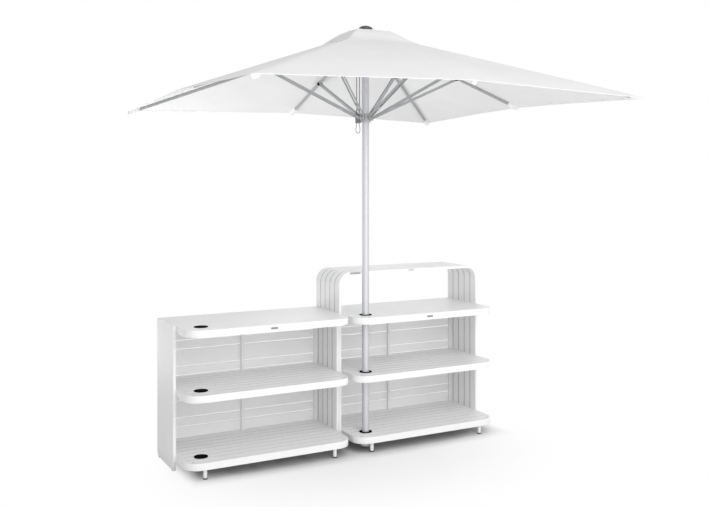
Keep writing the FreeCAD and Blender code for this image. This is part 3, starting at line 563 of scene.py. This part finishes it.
@dataclass
class Counter:
    """Both modules: panels, boards, shelves, backs and their fixings.

    Attributes:
        left_edges: X of each module's left outer face.
        width: Width of a module.
        panel: Thickness of a side panel.
        back_front: Y of the front of the back boards.
        back_rear: Y of the rear of the back boards.
        back_start: Foot of the lowest back board.
        back_tops: Top of each module's highest back board.
        narrow_share: Height of a narrow back board as a share of a wide one's.
        gap: Gap between back boards.
        wide_count: Count of wide boards.
        screw: Radius of a screw's head, how far it stands out of the board, and its count of sides.
        recess: Radius and depth of its drive recess.
        insets: Distances of the outer rear screws and of the front screws from a side panel.
        plate_spot: Place on the arch's front edge of the longer blank plate beside the pole.
        plate: Length, thickness and height of that plate.
        plate_round: Radius of its corners as a share of its height, and count of faces there.
    """

    left_edges: Pair = (-1.490, -0.163)
    width: float = 1.325
    panel: float = 0.020
    back_front: float = 0.532
    back_rear: float = 0.547
    back_start: float = 0.082
    back_tops: Pair = (0.997, 0.988)
    narrow_share: float = 0.5
    gap: float = 0.007
    wide_count: int = 5
    screw: tuple[float, float, int] = (0.0042, 0.0006, 14)
    recess: Pair = (0.0021, 0.0012)
    insets: Pair = (0.0125, 0.038)
    plate_spot: Place = (-0.022, 0.138, 1.357)
    plate: Place = (0.092, 0.0015, 0.015)
    plate_round: tuple[float, int] = (0.49, 8)

    def dress(self) -> None:
        """Give the carried-over nodes their finishes."""
        dress(["low_left_panel"], SHADED_BOARD, 0.003)
        dress(["low_top", "high_top"], SHADED_BOARD, 0.004)
        dress(["low_shelf_frames", "high_shelf_frames"], SHADED_BOARD, 0.003)
        dress(["low_right_panel", "high_left_panel", "high_right_panel", "high_arch"], SLAT, 0.001)
        dress(["low_shelf_planks", "high_shelf_planks"], PLANK, 0.001)
        dress(["low_back_boards", "high_back_boards"], BACK, 0.0012)
        dress(["low_back_posts", "high_back_posts"], POST, 0.0015)
        dress(["front_legs"], POST, 0.001)
        dress(["floor_pads"], RUBBER, 0.0015)
        dress(["link_bolts"], POST, 0.001)
        dress(["oval_plates"], PLATE, 0.0006)
        dress(["pole_collars", "cap_top", "cap_middle", "cap_bottom"], BLACK, 0.0012)
        dress(["pole_socket"], POST, 0.0012)

    def board_levels(self, top: float) -> list[float]:
        """Find the middles of the back boards.

        Args:
            top: Top of the highest board.

        Returns:
            Heights from the floor.
        """
        narrow_count = self.wide_count - 1
        room = top - self.back_start - 2 * self.gap * narrow_count
        wide = room / (self.wide_count + self.narrow_share * narrow_count)
        narrow = wide * self.narrow_share
        pitch = wide + narrow + 2 * self.gap
        levels = [self.back_start + wide / 2 + pitch * row for row in range(self.wide_count)]
        narrow_start = self.back_start + wide + self.gap + narrow / 2
        return levels + [narrow_start + pitch * row for row in range(narrow_count)]

    def add_screw(self, shape: Shape, spot: Vector, faces_front: bool) -> None:
        """Add one countersunk screw head with a drive recess.

        Args:
            shape: The bmesh that collects the screws.
            spot: Place on the board's face.
            faces_front: True on the front face of a board.
        """
        turn = Matrix.Rotation(math.radians(90 if faces_front else -90), 4, "X")
        place = Matrix.Translation(spot) @ turn
        (radius, rise, sides), (hollow, depth) = self.screw, self.recess
        head = bmesh.ops.create_circle(shape, cap_ends=True, segments=sides, radius=radius, matrix=place)
        face = next(iter(head["verts"][0].link_faces))
        out = Vector((0, -1 if faces_front else 1, 0))
        raised = bmesh.ops.extrude_discrete_faces(shape, faces=[face])["faces"]
        bmesh.ops.translate(shape, vec=out * rise, verts=raised[0].verts)
        bmesh.ops.inset_individual(shape, faces=raised, thickness=radius - hollow, depth=0.0)
        bmesh.ops.translate(shape, vec=out * -depth, verts=raised[0].verts)

    def arch_plate(self) -> None:
        """Fit the longer blank oval plate on the arch's front edge beside the pole."""
        shape = bmesh.new()
        length, thick, tall = self.plate
        middle = Vector(self.plate_spot) - Vector((0.0, thick / 2, 0.0))
        size = Matrix.Diagonal((length, thick, tall, 1.0))
        bmesh.ops.create_cube(shape, size=1.0, matrix=Matrix.Translation(middle) @ size)
        ends = [edge for edge in shape.edges if abs(edge.verts[0].co.y - edge.verts[1].co.y) > thick / 2]
        share, steps = self.plate_round
        round_edges(shape, ends, tall * share, steps)
        finish_piece(to_object("arch_plate", shape), LONG_PLATE, "counter")

    def screws(self) -> None:
        """Screw the back boards to their posts, seen from the front beside the posts and from the rear."""
        rear, front = self.insets
        for module, left, top in zip(("low", "high"), self.left_edges, self.back_tops):
            shape = bmesh.new()
            first, last = left + self.panel, left + self.width - self.panel
            middles = (first + rear, left + self.width / 2, last - rear)
            beside = (first + front, last - front)
            for level in self.board_levels(top):
                for across in middles:
                    self.add_screw(shape, Vector((across, self.back_rear, level)), False)
                for across in beside:
                    self.add_screw(shape, Vector((across, self.back_front, level)), True)
            bmesh.ops.recalc_face_normals(shape, faces=shape.faces)
            finish_piece(to_object(f"{module}_back_screws", shape, False), STEEL, "counter")


@dataclass
class RibCloth:
    """Cloth sewn from one piece over each rib, between an inner and an outer square round the pole.

    Attributes:
        half: Half the outer side.
        inner: Half the inner side.
        hem: Width of the turned hem.
        hem_thickness: Thickness of the turned hem.
        hem_lap: How far the turned hem stands out of the cloth's upper face and past its edge.
        hem_rows: Count of faces across the hem.
        scallop: How far the hem is drawn in between two ribs.
        scallop_power: Power of the way out from the pole with which it is drawn in.
        thickness: Thickness of the cloth.
        grid: Counts of faces along a rib and across it.
        cut_steps: Steps each way in which the flat cut is measured.
    """

    half: float
    inner: float
    hem: float
    hem_thickness: float
    hem_lap: float = 0.0006
    hem_rows: int = 3
    scallop: float = 0.0
    scallop_power: int = 6
    thickness: float = 0.0012
    grid: tuple[int, int] = (40, 24)
    cut_steps: int = 40

    def level(self, large: float, small: float, out: float, free: float) -> float:
        """Find the height of the cloth's upper face.

        Args:
            large: Larger of the distances from the pole along X and Y.
            small: Smaller of them.
            out: 0 at the inner edge and 1 at the hem.
            free: 0 on a rib and 1 half way to its neighbour.

        Returns:
            Height from the floor.
        """
        raise NotImplementedError

    def spot(self, index: int, out: float, side: float) -> Vector:
        """Find a point of one cloth piece.

        Args:
            index: Number of the rib, from 0.
            out: 0 at the inner edge and 1 at the hem.
            side: -1 and 1 half way to the neighbouring ribs, 0 on the rib.

        Returns:
            The point in the row frame.
        """
        edge = math.tan(math.pi / RIBS)
        free = math.sin(math.pi * side / 2) ** 2
        drawn = self.scallop * free * out**self.scallop_power
        large = self.inner + (self.half - self.inner) * out - drawn
        on_corner = index % 2 == 1
        small = large * (1 - (1 - edge) * abs(side)) if on_corner else large * edge * side
        level = self.level(large, abs(small), out, free)
        past_corner = on_corner and side >= 0
        spot = Vector((small, large, level)) if past_corner else Vector((large, small, level))
        return Matrix.Rotation(math.pi / 2 * (index // 2), 3, "Z") @ spot

    def length(self, index: int = 0) -> float:
        """Give the length of the cloth along a rib, from its inner edge to its hem."""
        return (self.spot(index, 1, 0) - self.spot(index, 0, 0)).length

    def sheet(self, index: int, name: str, hem_only: bool = False) -> bpy.types.Object:
        """Build the cloth over one rib, or the band of its hem.

        Args:
            index: Number of the rib, from 0.
            name: Name of the piece.
            hem_only: True for the hem's band.

        Returns:
            The cloth, with its flat coordinates in metres.
        """
        length = self.length()
        first, last, lift, rows, thickness = 0.0, 1.0, 0.0, self.grid[0], self.thickness
        if hem_only:
            first, last = 1 - self.hem / length, 1 + self.hem_lap / length
            lift, rows, thickness = self.hem_lap, self.hem_rows, self.hem_thickness
        shape = bmesh.new()
        bmesh.ops.create_grid(shape, x_segments=rows, y_segments=self.grid[1], size=0.5)
        flat = shape.loops.layers.uv.new(FLAT)
        across = UP.cross(outward(RIB_ANGLE * index))
        for vert in shape.verts:
            out = first + (vert.co.x + 0.5) * (last - first)
            vert.co = self.spot(index, out, 2 * vert.co.y) + UP * lift
            for loop in vert.link_loops:
                loop[flat].uv = (vert.co.dot(across), (1 - out) * length)
        bmesh.ops.recalc_face_normals(shape, faces=shape.faces)
        if shape.faces[:][0].normal.z < 0:
            bmesh.ops.reverse_faces(shape, faces=shape.faces)
        bmesh.ops.solidify(shape, geom=shape.faces[:], thickness=thickness)
        return to_object(name, shape)

    def flat_cut(self, index: int) -> tuple[Pair, float]:
        """Measure the cut of one cloth piece.

        Args:
            index: Number of the rib, from 0.

        Returns:
            Width and length, and the area of its flat cut.
        """
        steps = [step / self.cut_steps for step in range(self.cut_steps + 1)]
        area = 0.0
        for out, following in zip(steps, steps[1:]):
            for side, onward in zip(steps, steps[1:]):
                corner = self.spot(index, out, side)
                along = self.spot(index, following, side) - corner
                area += 2 * along.cross(self.spot(index, out, onward) - corner).length
        width = 2 * (self.spot(index, 1, 1) - self.spot(index, 1, 0)).length
        return (width, self.length(index)), area


@dataclass
class Canopy(RibCloth):
    """Stretched cloth of the parasol with its hems and tip pockets.

    Attributes:
        apex: Height to which the gores rise over the pole.
        side_tip: Height of the cloth's underside at the middle of a side.
        corner_tip: Height of the cloth's underside at a corner.
        sag: Dip of the cloth half way between two ribs.
        sag_span: Part of a half wave that the sag has at the inner edge, and what it adds towards the hem.
        keeps: Shares of the cloth's width over a side and a corner rib that were to stay when the parasol is
            closed, so that neighbouring pieces still meet; not used.
        pocket_size: Length, width and height of a tip pocket.
        pocket_inset: Distance of a pocket's middle from the hem.
        pocket_drop: Distance of a pocket's middle below the cloth.
        pocket_aim: Share of the way out from the pole towards which a pocket points.
        pocket_soft: Cuts across each edge of a pocket, and how far its corners are smoothed.
    """

    half: float = 1.500
    inner: float = 0.180
    hem: float = 0.030
    hem_thickness: float = 0.0032
    scallop: float = 0.012
    apex: float = 3.26386
    side_tip: float = 2.73237
    corner_tip: float = 2.68560
    sag: float = 0.010
    sag_span: Pair = (0.12, 0.8)
    keeps: Pair = (0.39, 0.737)
    pocket_size: Place = (0.122, 0.030, 0.030)
    pocket_inset: float = 0.060
    pocket_drop: float = 0.0162
    pocket_aim: float = 0.9
    pocket_soft: tuple[int, float] = (2, 0.35)

    def level(self, large: float, small: float, out: float, free: float) -> float:
        """Find the height of the canopy's upper face.

        Args:
            large: Larger of the distances from the pole along X and Y.
            small: Smaller of them.
            out: 0 at the inner edge and 1 at the hem.
            free: 0 on a rib and 1 half way to its neighbour.

        Returns:
            Height from the floor.
        """
        fall = (self.side_tip - self.apex) * large + (self.corner_tip - self.side_tip) * small
        start, more = self.sag_span
        dip = self.sag * free * math.sin(math.pi * min(1.0, start + more * out))
        return self.apex + fall / self.half + self.thickness - dip

    def pocket(self, index: int) -> bpy.types.Object:
        """Sew the pocket that holds a rib's tip under the hem.

        Args:
            index: Number of the rib, from 0.

        Returns:
            The pocket.
        """
        tip, within = self.spot(index, 1, 0), self.spot(index, self.pocket_aim, 0)
        along = (within - tip).normalized()
        across = along.cross(UP).normalized()
        upward = across.cross(along)
        basis = Matrix((along, across, upward)).transposed().to_4x4()
        centre = tip + along * self.pocket_inset - upward * self.pocket_drop
        size = Matrix.Diagonal((*self.pocket_size, 1.0))
        shape = bmesh.new()
        bmesh.ops.create_cube(shape, size=1.0, matrix=Matrix.Translation(centre) @ basis @ size)
        cuts, factor = self.pocket_soft
        bmesh.ops.subdivide_edges(shape, edges=shape.edges[:], cuts=cuts, use_grid_fill=True)
        bmesh.ops.smooth_vert(
            shape, verts=shape.verts[:], factor=factor, use_axis_x=True, use_axis_y=True, use_axis_z=True
        )
        flat = shape.loops.layers.uv.new(FLAT)
        for face in shape.faces:
            for loop in face.loops:
                place = loop.vert.co - centre
                loop[flat].uv = (place.dot(across) + PLAIN, place.dot(along) + PLAIN)
        bmesh.ops.recalc_face_normals(shape, faces=shape.faces)
        return to_object(f"tip_pocket_{index + 1}", shape)

    def build(self) -> None:
        """Lay the cloth on every rib and sew its hem and pocket."""
        for index in range(RIBS):
            number = index + 1
            body, joint = f"rib_{number}", f"rib_{number}_fold"
            cloth = self.sheet(index, f"canopy_cloth_{number}")
            hem = self.sheet(index, f"canopy_hem_{number}", True)
            pocket = self.pocket(index)
            for piece in (cloth, hem):
                finish_piece(piece, CLOTH, body)
                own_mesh(piece)
            finish_piece(pocket, TIP, body)
            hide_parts(f"canopy_{number}")
            flat, area = self.flat_cut(index)


@dataclass
class VentFlap(RibCloth):
    """Square flap over the vent, with a flatter brow under the finial.

    Attributes:
        levels: Half sides and heights of the top, brow and hem.
        corner_drop: How much lower its corners lie than the middles of its sides.
        dip: How far its hem follows the canopy's dip half way between two ribs.
        pucker: Depth of the folds that fan out from under the finial.
        pucker_reach: Distances from the pole at which the folds start and end.
        pucker_count: Count of folds round the pole.
        bend: Distances from the pole between which it was to turn from the mast to a rib as the parasol
            closes; not used.
    """

    half: float = 0.300
    inner: float = 0.020
    hem: float = 0.021
    hem_thickness: float = 0.0018
    grid: tuple[int, int] = (56, 24)
    levels: tuple[Pair, ...] = (
        (0.0, 3.2742), (0.045, 3.2736), (0.100, 3.2690), (0.145, 3.2612),
        (0.200, 3.2262), (0.250, 3.1880), (0.275, 3.1722), (0.300, 3.1606),
    )
    corner_drop: float = 0.0092
    dip: float = 0.0055
    pucker: float = 0.0008
    pucker_reach: Pair = (0.045, 0.215)
    pucker_count: int = 16
    bend: Pair = (0.050, 0.330)

    def brow(self, reach: float) -> float:
        """Find the flap's height over the middle of a side.

        Args:
            reach: Distance from the pole.

        Returns:
            Height from the floor.
        """
        for (near, high), (far, low) in zip(self.levels, self.levels[1:]):
            if reach <= far:
                return high + (low - high) * (reach - near) / (far - near)
        return self.levels[-1][1]

    def level(self, large: float, small: float, out: float, free: float) -> float:
        """Find the height of the flap's upper face.

        Args:
            large: Larger of the distances from the pole along X and Y.
            small: Smaller of them.
            out: 0 at the inner edge and 1 at the hem.
            free: 0 on a rib and 1 half way to its neighbour.

        Returns:
            Height from the floor.
        """
        droop = self.corner_drop * small / self.half + self.dip * free * (large / self.half) ** 2
        start, end = self.pucker_reach
        window = math.sin(math.pi * min(1.0, max(0.0, (large - start) / (end - start)))) ** 2
        fold = self.pucker * window * math.cos(self.pucker_count * math.atan2(small, large))
        return self.brow(large) - droop + fold

    def build(self) -> None:
        """Lay the flap over every rib and turn its hem."""
        for index in range(RIBS):
            number = index + 1
            cloth = self.sheet(index, f"vent_flap_cloth_{number}")
            hem = self.sheet(index, f"vent_flap_hem_{number}", True)
            for piece in (cloth, hem):
                finish_piece(piece, CLOTH, "")
                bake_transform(piece)
            if index == 0:
                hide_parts("vent_flap")
            flat, area = self.flat_cut(index)


@dataclass
class Parasol:
    """Mast, crown, runner, ribs and struts with the finial and the ropes.

    Attributes:
        finial_profile: Radii and heights of the finial's outer face.
        finial_turn: Count of the finial's faces round the pole, and distance within which its seam is joined.
        rivets: Distances from the pole and heights of the strut ends, on the sides and the corners.
        strut_rises: Rises of the struts, on the sides and the corners.
        fork_half: Half the width over a strut's rivet heads.
        cheek: Length, thickness and height of a cheek.
        cheek_shift: How far a cheek's middle lies from the rivet, along the strut towards the pole.
        cheek_round: Radius of a cheek's corners, and count of faces there.
        segment: Inner and outer radius and height of a filler between two lugs of the runner.
        segment_half: Half a filler's width inside and outside.
        segment_edge: Width of a filler's softened edges.
        runner_level: Height of the runner's middle.
        rope_bearing: Side of the pole on which the ropes run, in degrees from +X.
        strands: Distances of the two strands from the pole.
        strand_top: Height at which the strands leave the crown.
        strand_foot: Height at which they reach the cleat.
        strand_radius: Radius of a strand.
        strand_faces: Counts of faces round a strand and along it.
        strand_twist: Count of its yarns, their turns, and their grooves' depth as a share of the radius.
        loop_centre: Distance of the hanging loop from the pole.
        loop_top: Height at which the loop leaves the cleat.
        loop_radius: Radius of its rope.
        loop_route: Ways beside and above its middle that it takes, in millimetres.
        loop_steps: Steps of its curve between two of these, and of its rope's rounding.
    """

    finial_profile: tuple[Pair, ...] = (
        (0.0, 3.2748), (0.0545, 3.2748), (0.0560, 3.2762), (0.0560, 3.2895), (0.0545, 3.2930),
        (0.0490, 3.2985), (0.0400, 3.3040), (0.0280, 3.3085), (0.0150, 3.3117), (0.0, 3.3126),
    )
    finial_turn: tuple[int, float] = (64, 1e-6)
    rivets: tuple[Pair, ...] = ((0.86798, 2.94396), (0.86281, 3.01307))
    strut_rises: Pair = (math.radians(23.7747), math.radians(27.9006))
    fork_half: float = 0.0148
    cheek: Place = (0.042, 0.004, 0.019)
    cheek_shift: float = 0.017
    cheek_round: tuple[float, int] = (0.009, 5)
    segment: Place = (0.039, 0.061, 0.040)
    segment_half: Pair = (0.0012, 0.0100)
    segment_edge: float = 0.0008
    runner_level: float = 2.588
    rope_bearing: float = 157.5
    strands: Pair = (0.048, 0.070)
    strand_top: float = 3.2097
    strand_foot: float = 2.6223
    strand_radius: float = 0.003
    strand_faces: tuple[int, int] = (18, 160)
    strand_twist: tuple[int, int, float] = (3, 20, 0.14)
    loop_centre: float = 0.060
    loop_top: float = 2.5457
    loop_radius: float = 0.00225
    loop_route: tuple[Pair, ...] = (
        (-9.0, 0.0), (-12.5, -21.0), (-16.0, -44.0), (-15.0, -68.2), (-6.2, -77.0),
        (6.2, -77.0), (15.0, -68.2), (16.4, -45.0), (12.9, -21.0), (9.0, 0.0),
    )
    loop_steps: tuple[int, int] = (12, 4)

    def dress(self) -> None:
        """Give the carried-over nodes their finishes."""
        dress(["pole"], POLE)
        dress(["crown", "runner"], HUB, 0.001)
        dress(["crown_pins", "runner_pins"], STEEL)
        dress(["rope_cleat"], CLEAT, 0.0015)
        bars = [f"{kind}_{index + 1}" for kind in ("rib", "strut") for index in range(RIBS)]
        dress(bars, BAR, 0.0008)

    def finial(self) -> None:
        """Turn the domed finial over its profile."""
        shape = bmesh.new()
        verts = [shape.verts.new((radius, 0.0, level)) for radius, level in self.finial_profile]
        edges = [shape.edges.new(pair) for pair in zip(verts, verts[1:])]
        steps, seam = self.finial_turn
        bmesh.ops.spin(
            shape, geom=verts + edges, axis=UP, cent=(0, 0, 0), angle=math.tau, steps=steps, use_merge=True
        )
        bmesh.ops.remove_doubles(shape, verts=shape.verts, dist=seam)
        bmesh.ops.recalc_face_normals(shape, faces=shape.faces)
        piece = finish_piece(to_object("finial_dome", shape), FINIAL, "mast")
        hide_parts("finial")

    def strut_cheeks(self) -> None:
        """Fit dark cheeks to both sides of each strut's fork where it is riveted to its rib."""
        thick = self.cheek[1]
        for index in range(RIBS):
            bearing = math.tau * index / RIBS
            reach, level = self.rivets[index % 2]
            across = Vector((-math.sin(bearing), math.cos(bearing), 0.0))
            turn = Matrix.Rotation(bearing, 4, "Z") @ Matrix.Rotation(-self.strut_rises[index % 2], 4, "Y")
            spot = Vector((reach * math.cos(bearing), reach * math.sin(bearing), level))
            spot -= turn.to_3x3() @ Vector((self.cheek_shift, 0.0, 0.0))
            size = Matrix.Diagonal((*self.cheek, 1.0))
            shape = bmesh.new()
            for side in (-1, 1):
                place = Matrix.Translation(spot + across * side * (self.fork_half + thick / 2))
                bmesh.ops.create_cube(shape, size=1.0, matrix=place @ turn @ size)
            ends = ((edge, edge.verts[0].co - edge.verts[1].co) for edge in shape.edges)
            upright = [edge for edge, way in ends if abs(way.dot(across)) > thick / 2]
            round_edges(shape, upright, *self.cheek_round)
            piece = to_object(f"strut_cheeks_{index + 1}", shape)
            finish_piece(piece, BLACK, f"strut_{index + 1}")

    def runner_segments(self) -> None:
        """Fill the runner's ring between its lugs, apart from the place of the cleat."""
        inner, outer, tall = self.segment
        shape = bmesh.new()
        for index in range(RIBS):
            bearing = RIB_ANGLE * (index + 0.5)
            if bearing == self.rope_bearing:
                continue
            verts = bmesh.ops.create_cube(shape, size=1.0)["verts"]
            for vert in verts:
                far = vert.co.x > 0
                vert.co.x = outer if far else inner
                vert.co.y *= 2 * self.segment_half[far]
                vert.co.z = self.runner_level + vert.co.z * tall
            turn = Matrix.Rotation(math.radians(bearing), 3, "Z")
            bmesh.ops.rotate(shape, verts=verts, cent=(0, 0, 0), matrix=turn)
        round_edges(shape, shape.edges[:], self.segment_edge, SOFT_STEPS)
        finish_piece(to_object("runner_segments", shape), HUB, "runner")

    def strand(self, number: int, radius: float) -> None:
        """Lay one taut strand of twisted yarns.

        Args:
            number: Number of the strand.
            radius: Its distance from the pole.
        """
        axis = outward(self.rope_bearing) * radius
        foot, top = axis + UP * self.strand_foot, axis + UP * self.strand_top
        rise = self.strand_top - self.strand_foot
        (sides, steps), (yarns, turns, groove) = self.strand_faces, self.strand_twist
        shape = bmesh.new()
        thick = self.strand_radius
        ring = bmesh.ops.create_circle(shape, cap_ends=False, segments=sides, radius=thick)["verts"]
        for vert in ring:
            bearing = math.atan2(vert.co.y, vert.co.x)
            vert.co *= 1 - groove + groove * abs(math.cos(yarns / 2 * bearing))
        edges = list({edge for vert in ring for edge in vert.link_edges})
        climb, angle = UP * (rise / steps), math.tau * turns
        bmesh.ops.spin(
            shape, geom=ring + edges, axis=UP, cent=(0, 0, 0), dvec=climb, angle=angle, steps=steps
        )
        flat = shape.loops.layers.uv.new(FLAT)
        for face in shape.faces:
            for loop in face.loops:
                place = loop.vert.co
                loop[flat].uv = (math.atan2(place.y, place.x) * thick + PLAIN, place.z + PLAIN)
        bmesh.ops.translate(shape, vec=foot, verts=shape.verts)
        bmesh.ops.recalc_face_normals(shape, faces=shape.faces)
        piece = finish_piece(to_object(f"rope_strand_{number}", shape), ROPE, "")
        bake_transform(piece)
        if number == 1:
            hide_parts("rope_strands")

    def loop(self) -> None:
        """Hang the limp loop of rope from the cleat."""
        out = outward(self.rope_bearing)
        centre = out * self.loop_centre + UP * self.loop_top
        points = [centre + out * beside * MM + UP * above * MM for beside, above in self.loop_route]
        curve = bpy.data.curves.new("rope_loop_line", "CURVE")
        curve.dimensions = "3D"
        spline = curve.splines.new("NURBS")
        spline.points.add(len(points) - 1)
        for spot, point in zip(spline.points, points):
            spot.co = (*point, 1.0)
        spline.order_u = 3
        spline.use_endpoint_u = True
        spline.resolution_u, rounding = self.loop_steps
        piece = bpy.data.objects.new("rope_loop_cord", curve)
        bpy.context.scene.collection.objects.link(piece)
        line = bpy.data.meshes.new_from_object(piece)
        bpy.data.meshes.remove(line)
        curve.bevel_depth = self.loop_radius
        curve.bevel_resolution = rounding
        finish_piece(piece, ROPE, "runner")
        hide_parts("rope_loop")

    def build(self) -> None:
        """Make the ropes, dress the frame and add its small parts."""
        self.loop()
        for number, radius in enumerate(self.strands, 1):
            self.strand(number, radius)
        self.dress()
        self.finial()
        self.strut_cheeks()
        self.runner_segments()


@dataclass(frozen=True)
class Fade:
    """Oval on the floor from which it fades into the surround.

    Attributes:
        middle: Middle of the oval along X and Y.
        stretch: How much longer than a circle it is along X and Y.
        reach: Distances from the middle, before the stretch, at which the fade starts and ends.
        least: Share of the surround within the oval.
    """

    middle: Pair
    stretch: Pair
    reach: Pair
    least: float = 0.0

    def share(self, wiring: Wiring) -> Socket:
        """Build the nodes of the fade.

        Args:
            wiring: Nodes of the floor.

        Returns:
            Share of the surround at each place.
        """
        middle, stretch = (*self.middle, 0.0), (*self.stretch, 1.0)
        values = {"Vector": wiring.place(), "Location": middle, "Scale": stretch}
        oval = wiring.add("Mapping", values, vector_type="TEXTURE").outputs["Vector"]
        distance = wiring.add("VectorMath", {0: oval}, operation="LENGTH").outputs["Value"]
        start, end = self.reach
        values = {"Value": distance, "From Min": start, "From Max": end, "To Min": self.least}
        return wiring.add("MapRange", values, interpolation_type="SMOOTHSTEP").outputs[0]


@dataclass(frozen=True)
class Lamp:
    """One soft square lamp.

    Attributes:
        name: Name of the lamp.
        spot: Its place.
        target: What it faces.
        power: Its power in watts.
        size: Length of its sides.
        spread: Angle over which it shines, in degrees.
    """

    name: str
    spot: Place
    target: Place
    power: float
    size: float = 4.0
    spread: float = 180.0

    def hang(self) -> None:
        """Hang the lamp, out of the camera's sight."""
        data = bpy.data.lights.new(self.name, "AREA")
        data.size = self.size
        data.energy = self.power
        data.spread = math.radians(self.spread)
        item = bpy.data.objects.new(self.name, data)
        item.location = self.spot
        view = Vector(self.target) - Vector(self.spot)
        item.rotation_euler = view.to_track_quat("-Z", "Y").to_euler()
        item.visible_camera = False
        bpy.context.scene.collection.objects.link(item)


@dataclass
class Studio:
    """Pale floor, soft light and the camera.

    Attributes:
        camera_spot: Place of the camera.
        yaw: Turn of the camera from +Y towards +X, in degrees.
        lens: Focal length on a 36 mm sensor.
        shift: Shift of the picture.
        far: Distance to which the camera sees.
        sky: Strength of the plain surround.
        floor_size: Radius of the floor and count of its sides.
        floor_rough: Roughness of the floor.
        floor_tones: Colours of the floor: the contact shadow painted where something is near, and the open
            floor.
        corner: Distance within which something near paints that shadow into the floor's colour, and samples
            of that.
        contact: Fade from the dark shade round the counter's feet.
        ends: Fade past the counter's two ends.
        wide: Fade of the faint shade before the counter.
        lamps: The lamps.
    """

    camera_spot: Place = (-3.233, -6.140, 2.079)
    yaw: float = 28.76
    lens: float = 44.77
    shift: Pair = (-0.0364, -0.0996)
    far: float = 200.0
    sky: float = 0.50
    floor_size: tuple[float, int] = (60.0, 96)
    floor_rough: float = 0.9
    floor_tones: tuple[Colour, Colour] = ((0.14, 0.14, 0.14), (0.93, 0.93, 0.93))
    corner: tuple[float, int] = (0.15, 8)
    contact: Fade = Fade((-0.16, 0.15), (3.2, 1.0), (0.34, 0.68))
    ends: Fade = Fade((-0.10, 0.0), (1.0, 100.0), (1.20, 1.42))
    wide: Fade = Fade((-0.15, -0.20), (1.3, 1.0), (0.25, 1.35), 0.38)
    lamps: tuple[Lamp, ...] = (
        Lamp("key_lamp", (0.5, -6.0, 5.2), (-0.1, 0.0, 0.8), 170.0),
        Lamp("front_lamp", (-1.6, -6.5, 2.0), (0.2, 0.0, 0.9), 120.0),
        Lamp("right_lamp", (5.5, -4.0, 2.2), (0.0, 0.2, 0.6), 55.0),
        Lamp("rear_lamp", (3.5, 6.0, 4.5), (0.0, 0.0, 1.5), 40.0),
        Lamp("lift_lamp", (-2.2, 3.5, 0.3), (-1.0, 1.7, 3.5), 52.0, 2.0, 101.0),
        Lamp("left_lamp", (-6.5, -2.0, 2.5), (-0.5, 0.0, 0.8), 26.0),
    )

    def camera(self) -> None:
        """Set the camera at the photograph's angle."""
        data = bpy.data.cameras.new("camera")
        data.lens = self.lens
        data.shift_x, data.shift_y = self.shift
        data.clip_end = self.far
        item = bpy.data.objects.new("camera", data)
        item.location = self.camera_spot
        item.rotation_euler = (math.pi / 2, 0.0, -math.radians(self.yaw))
        bpy.context.scene.collection.objects.link(item)
        bpy.context.scene.camera = item

    def seen_directly(self, wiring: Wiring) -> Socket:
        """Tell rays that show the surround from those that light the object.

        Args:
            wiring: Nodes of the world or the floor.

        Returns:
            1 for camera, glossy and transmission rays.
        """
        path = wiring.add("LightPath").outputs
        mirrored = wiring.calc("MAXIMUM", path["Is Glossy Ray"], path["Is Transmission Ray"])
        return wiring.calc("MAXIMUM", path["Is Camera Ray"], mirrored)

    def surround(self) -> None:
        """Make a plain white surround that lights softly."""
        world = bpy.data.worlds.new("surround")
        bpy.context.scene.world = world
        world.use_nodes = True
        wiring = Wiring(world.node_tree)
        strength = wiring.spread(self.seen_directly(wiring), self.sky, 1.0)
        back = world.node_tree.nodes["Background"].inputs
        wiring.fill(back, {"Color": (1.0, 1.0, 1.0), "Strength": strength})

    def floor(self) -> None:
        """Lay a pale floor that fades into the white surround."""
        radius, sides = self.floor_size
        shape = bmesh.new()
        bmesh.ops.create_circle(shape, cap_ends=True, segments=sides, radius=radius)
        floor = to_object("floor", shape, False)
        material = bpy.data.materials.new("pale_floor")
        material.use_nodes = True
        nodes = material.node_tree.nodes
        wiring = Wiring(material.node_tree)
        reach, samples = self.corner
        # Painted contact shadow: the floor's colour darkens wherever anything lies within reach.
        shade = wiring.add("AmbientOcclusion", {"Distance": reach}, samples=samples).outputs["AO"]
        tone = wiring.mix(shade, *self.floor_tones)
        shader = nodes["Principled BSDF"]
        wiring.fill(shader.inputs, {"Base Color": tone, "Roughness": self.floor_rough})
        glow = wiring.add("Emission").outputs[0]
        around = wiring.calc("MAXIMUM", self.contact.share(wiring), self.ends.share(wiring))
        fade = wiring.calc("MINIMUM", around, self.wide.share(wiring))
        share = wiring.calc("MULTIPLY", fade, self.seen_directly(wiring))
        mixed = wiring.add("MixShader", {0: share, 1: shader.outputs[0], 2: glow}).outputs[0]
        wiring.fill(nodes["Material Output"].inputs, {"Surface": mixed})
        floor.data.materials.append(material)

    def build(self) -> None:
        """Set up the whole studio."""
        self.camera()
        self.surround()
        self.floor()
        for lamp in self.lamps:
            lamp.hang()


def main() -> None:
    """Build and dress the counter, the parasol and the studio."""
    logging.basicConfig(level=logging.INFO, format="%(name)s: %(message)s")
    bpy.context.scene.view_settings.view_transform = "Standard"
    Studio().build()
    Parasol().build()
    counter = Counter()
    counter.dress()
    counter.arch_plate()
    counter.screws()
    Canopy().build()
    VentFlap().build()


if __name__ == "__main__":
    main()
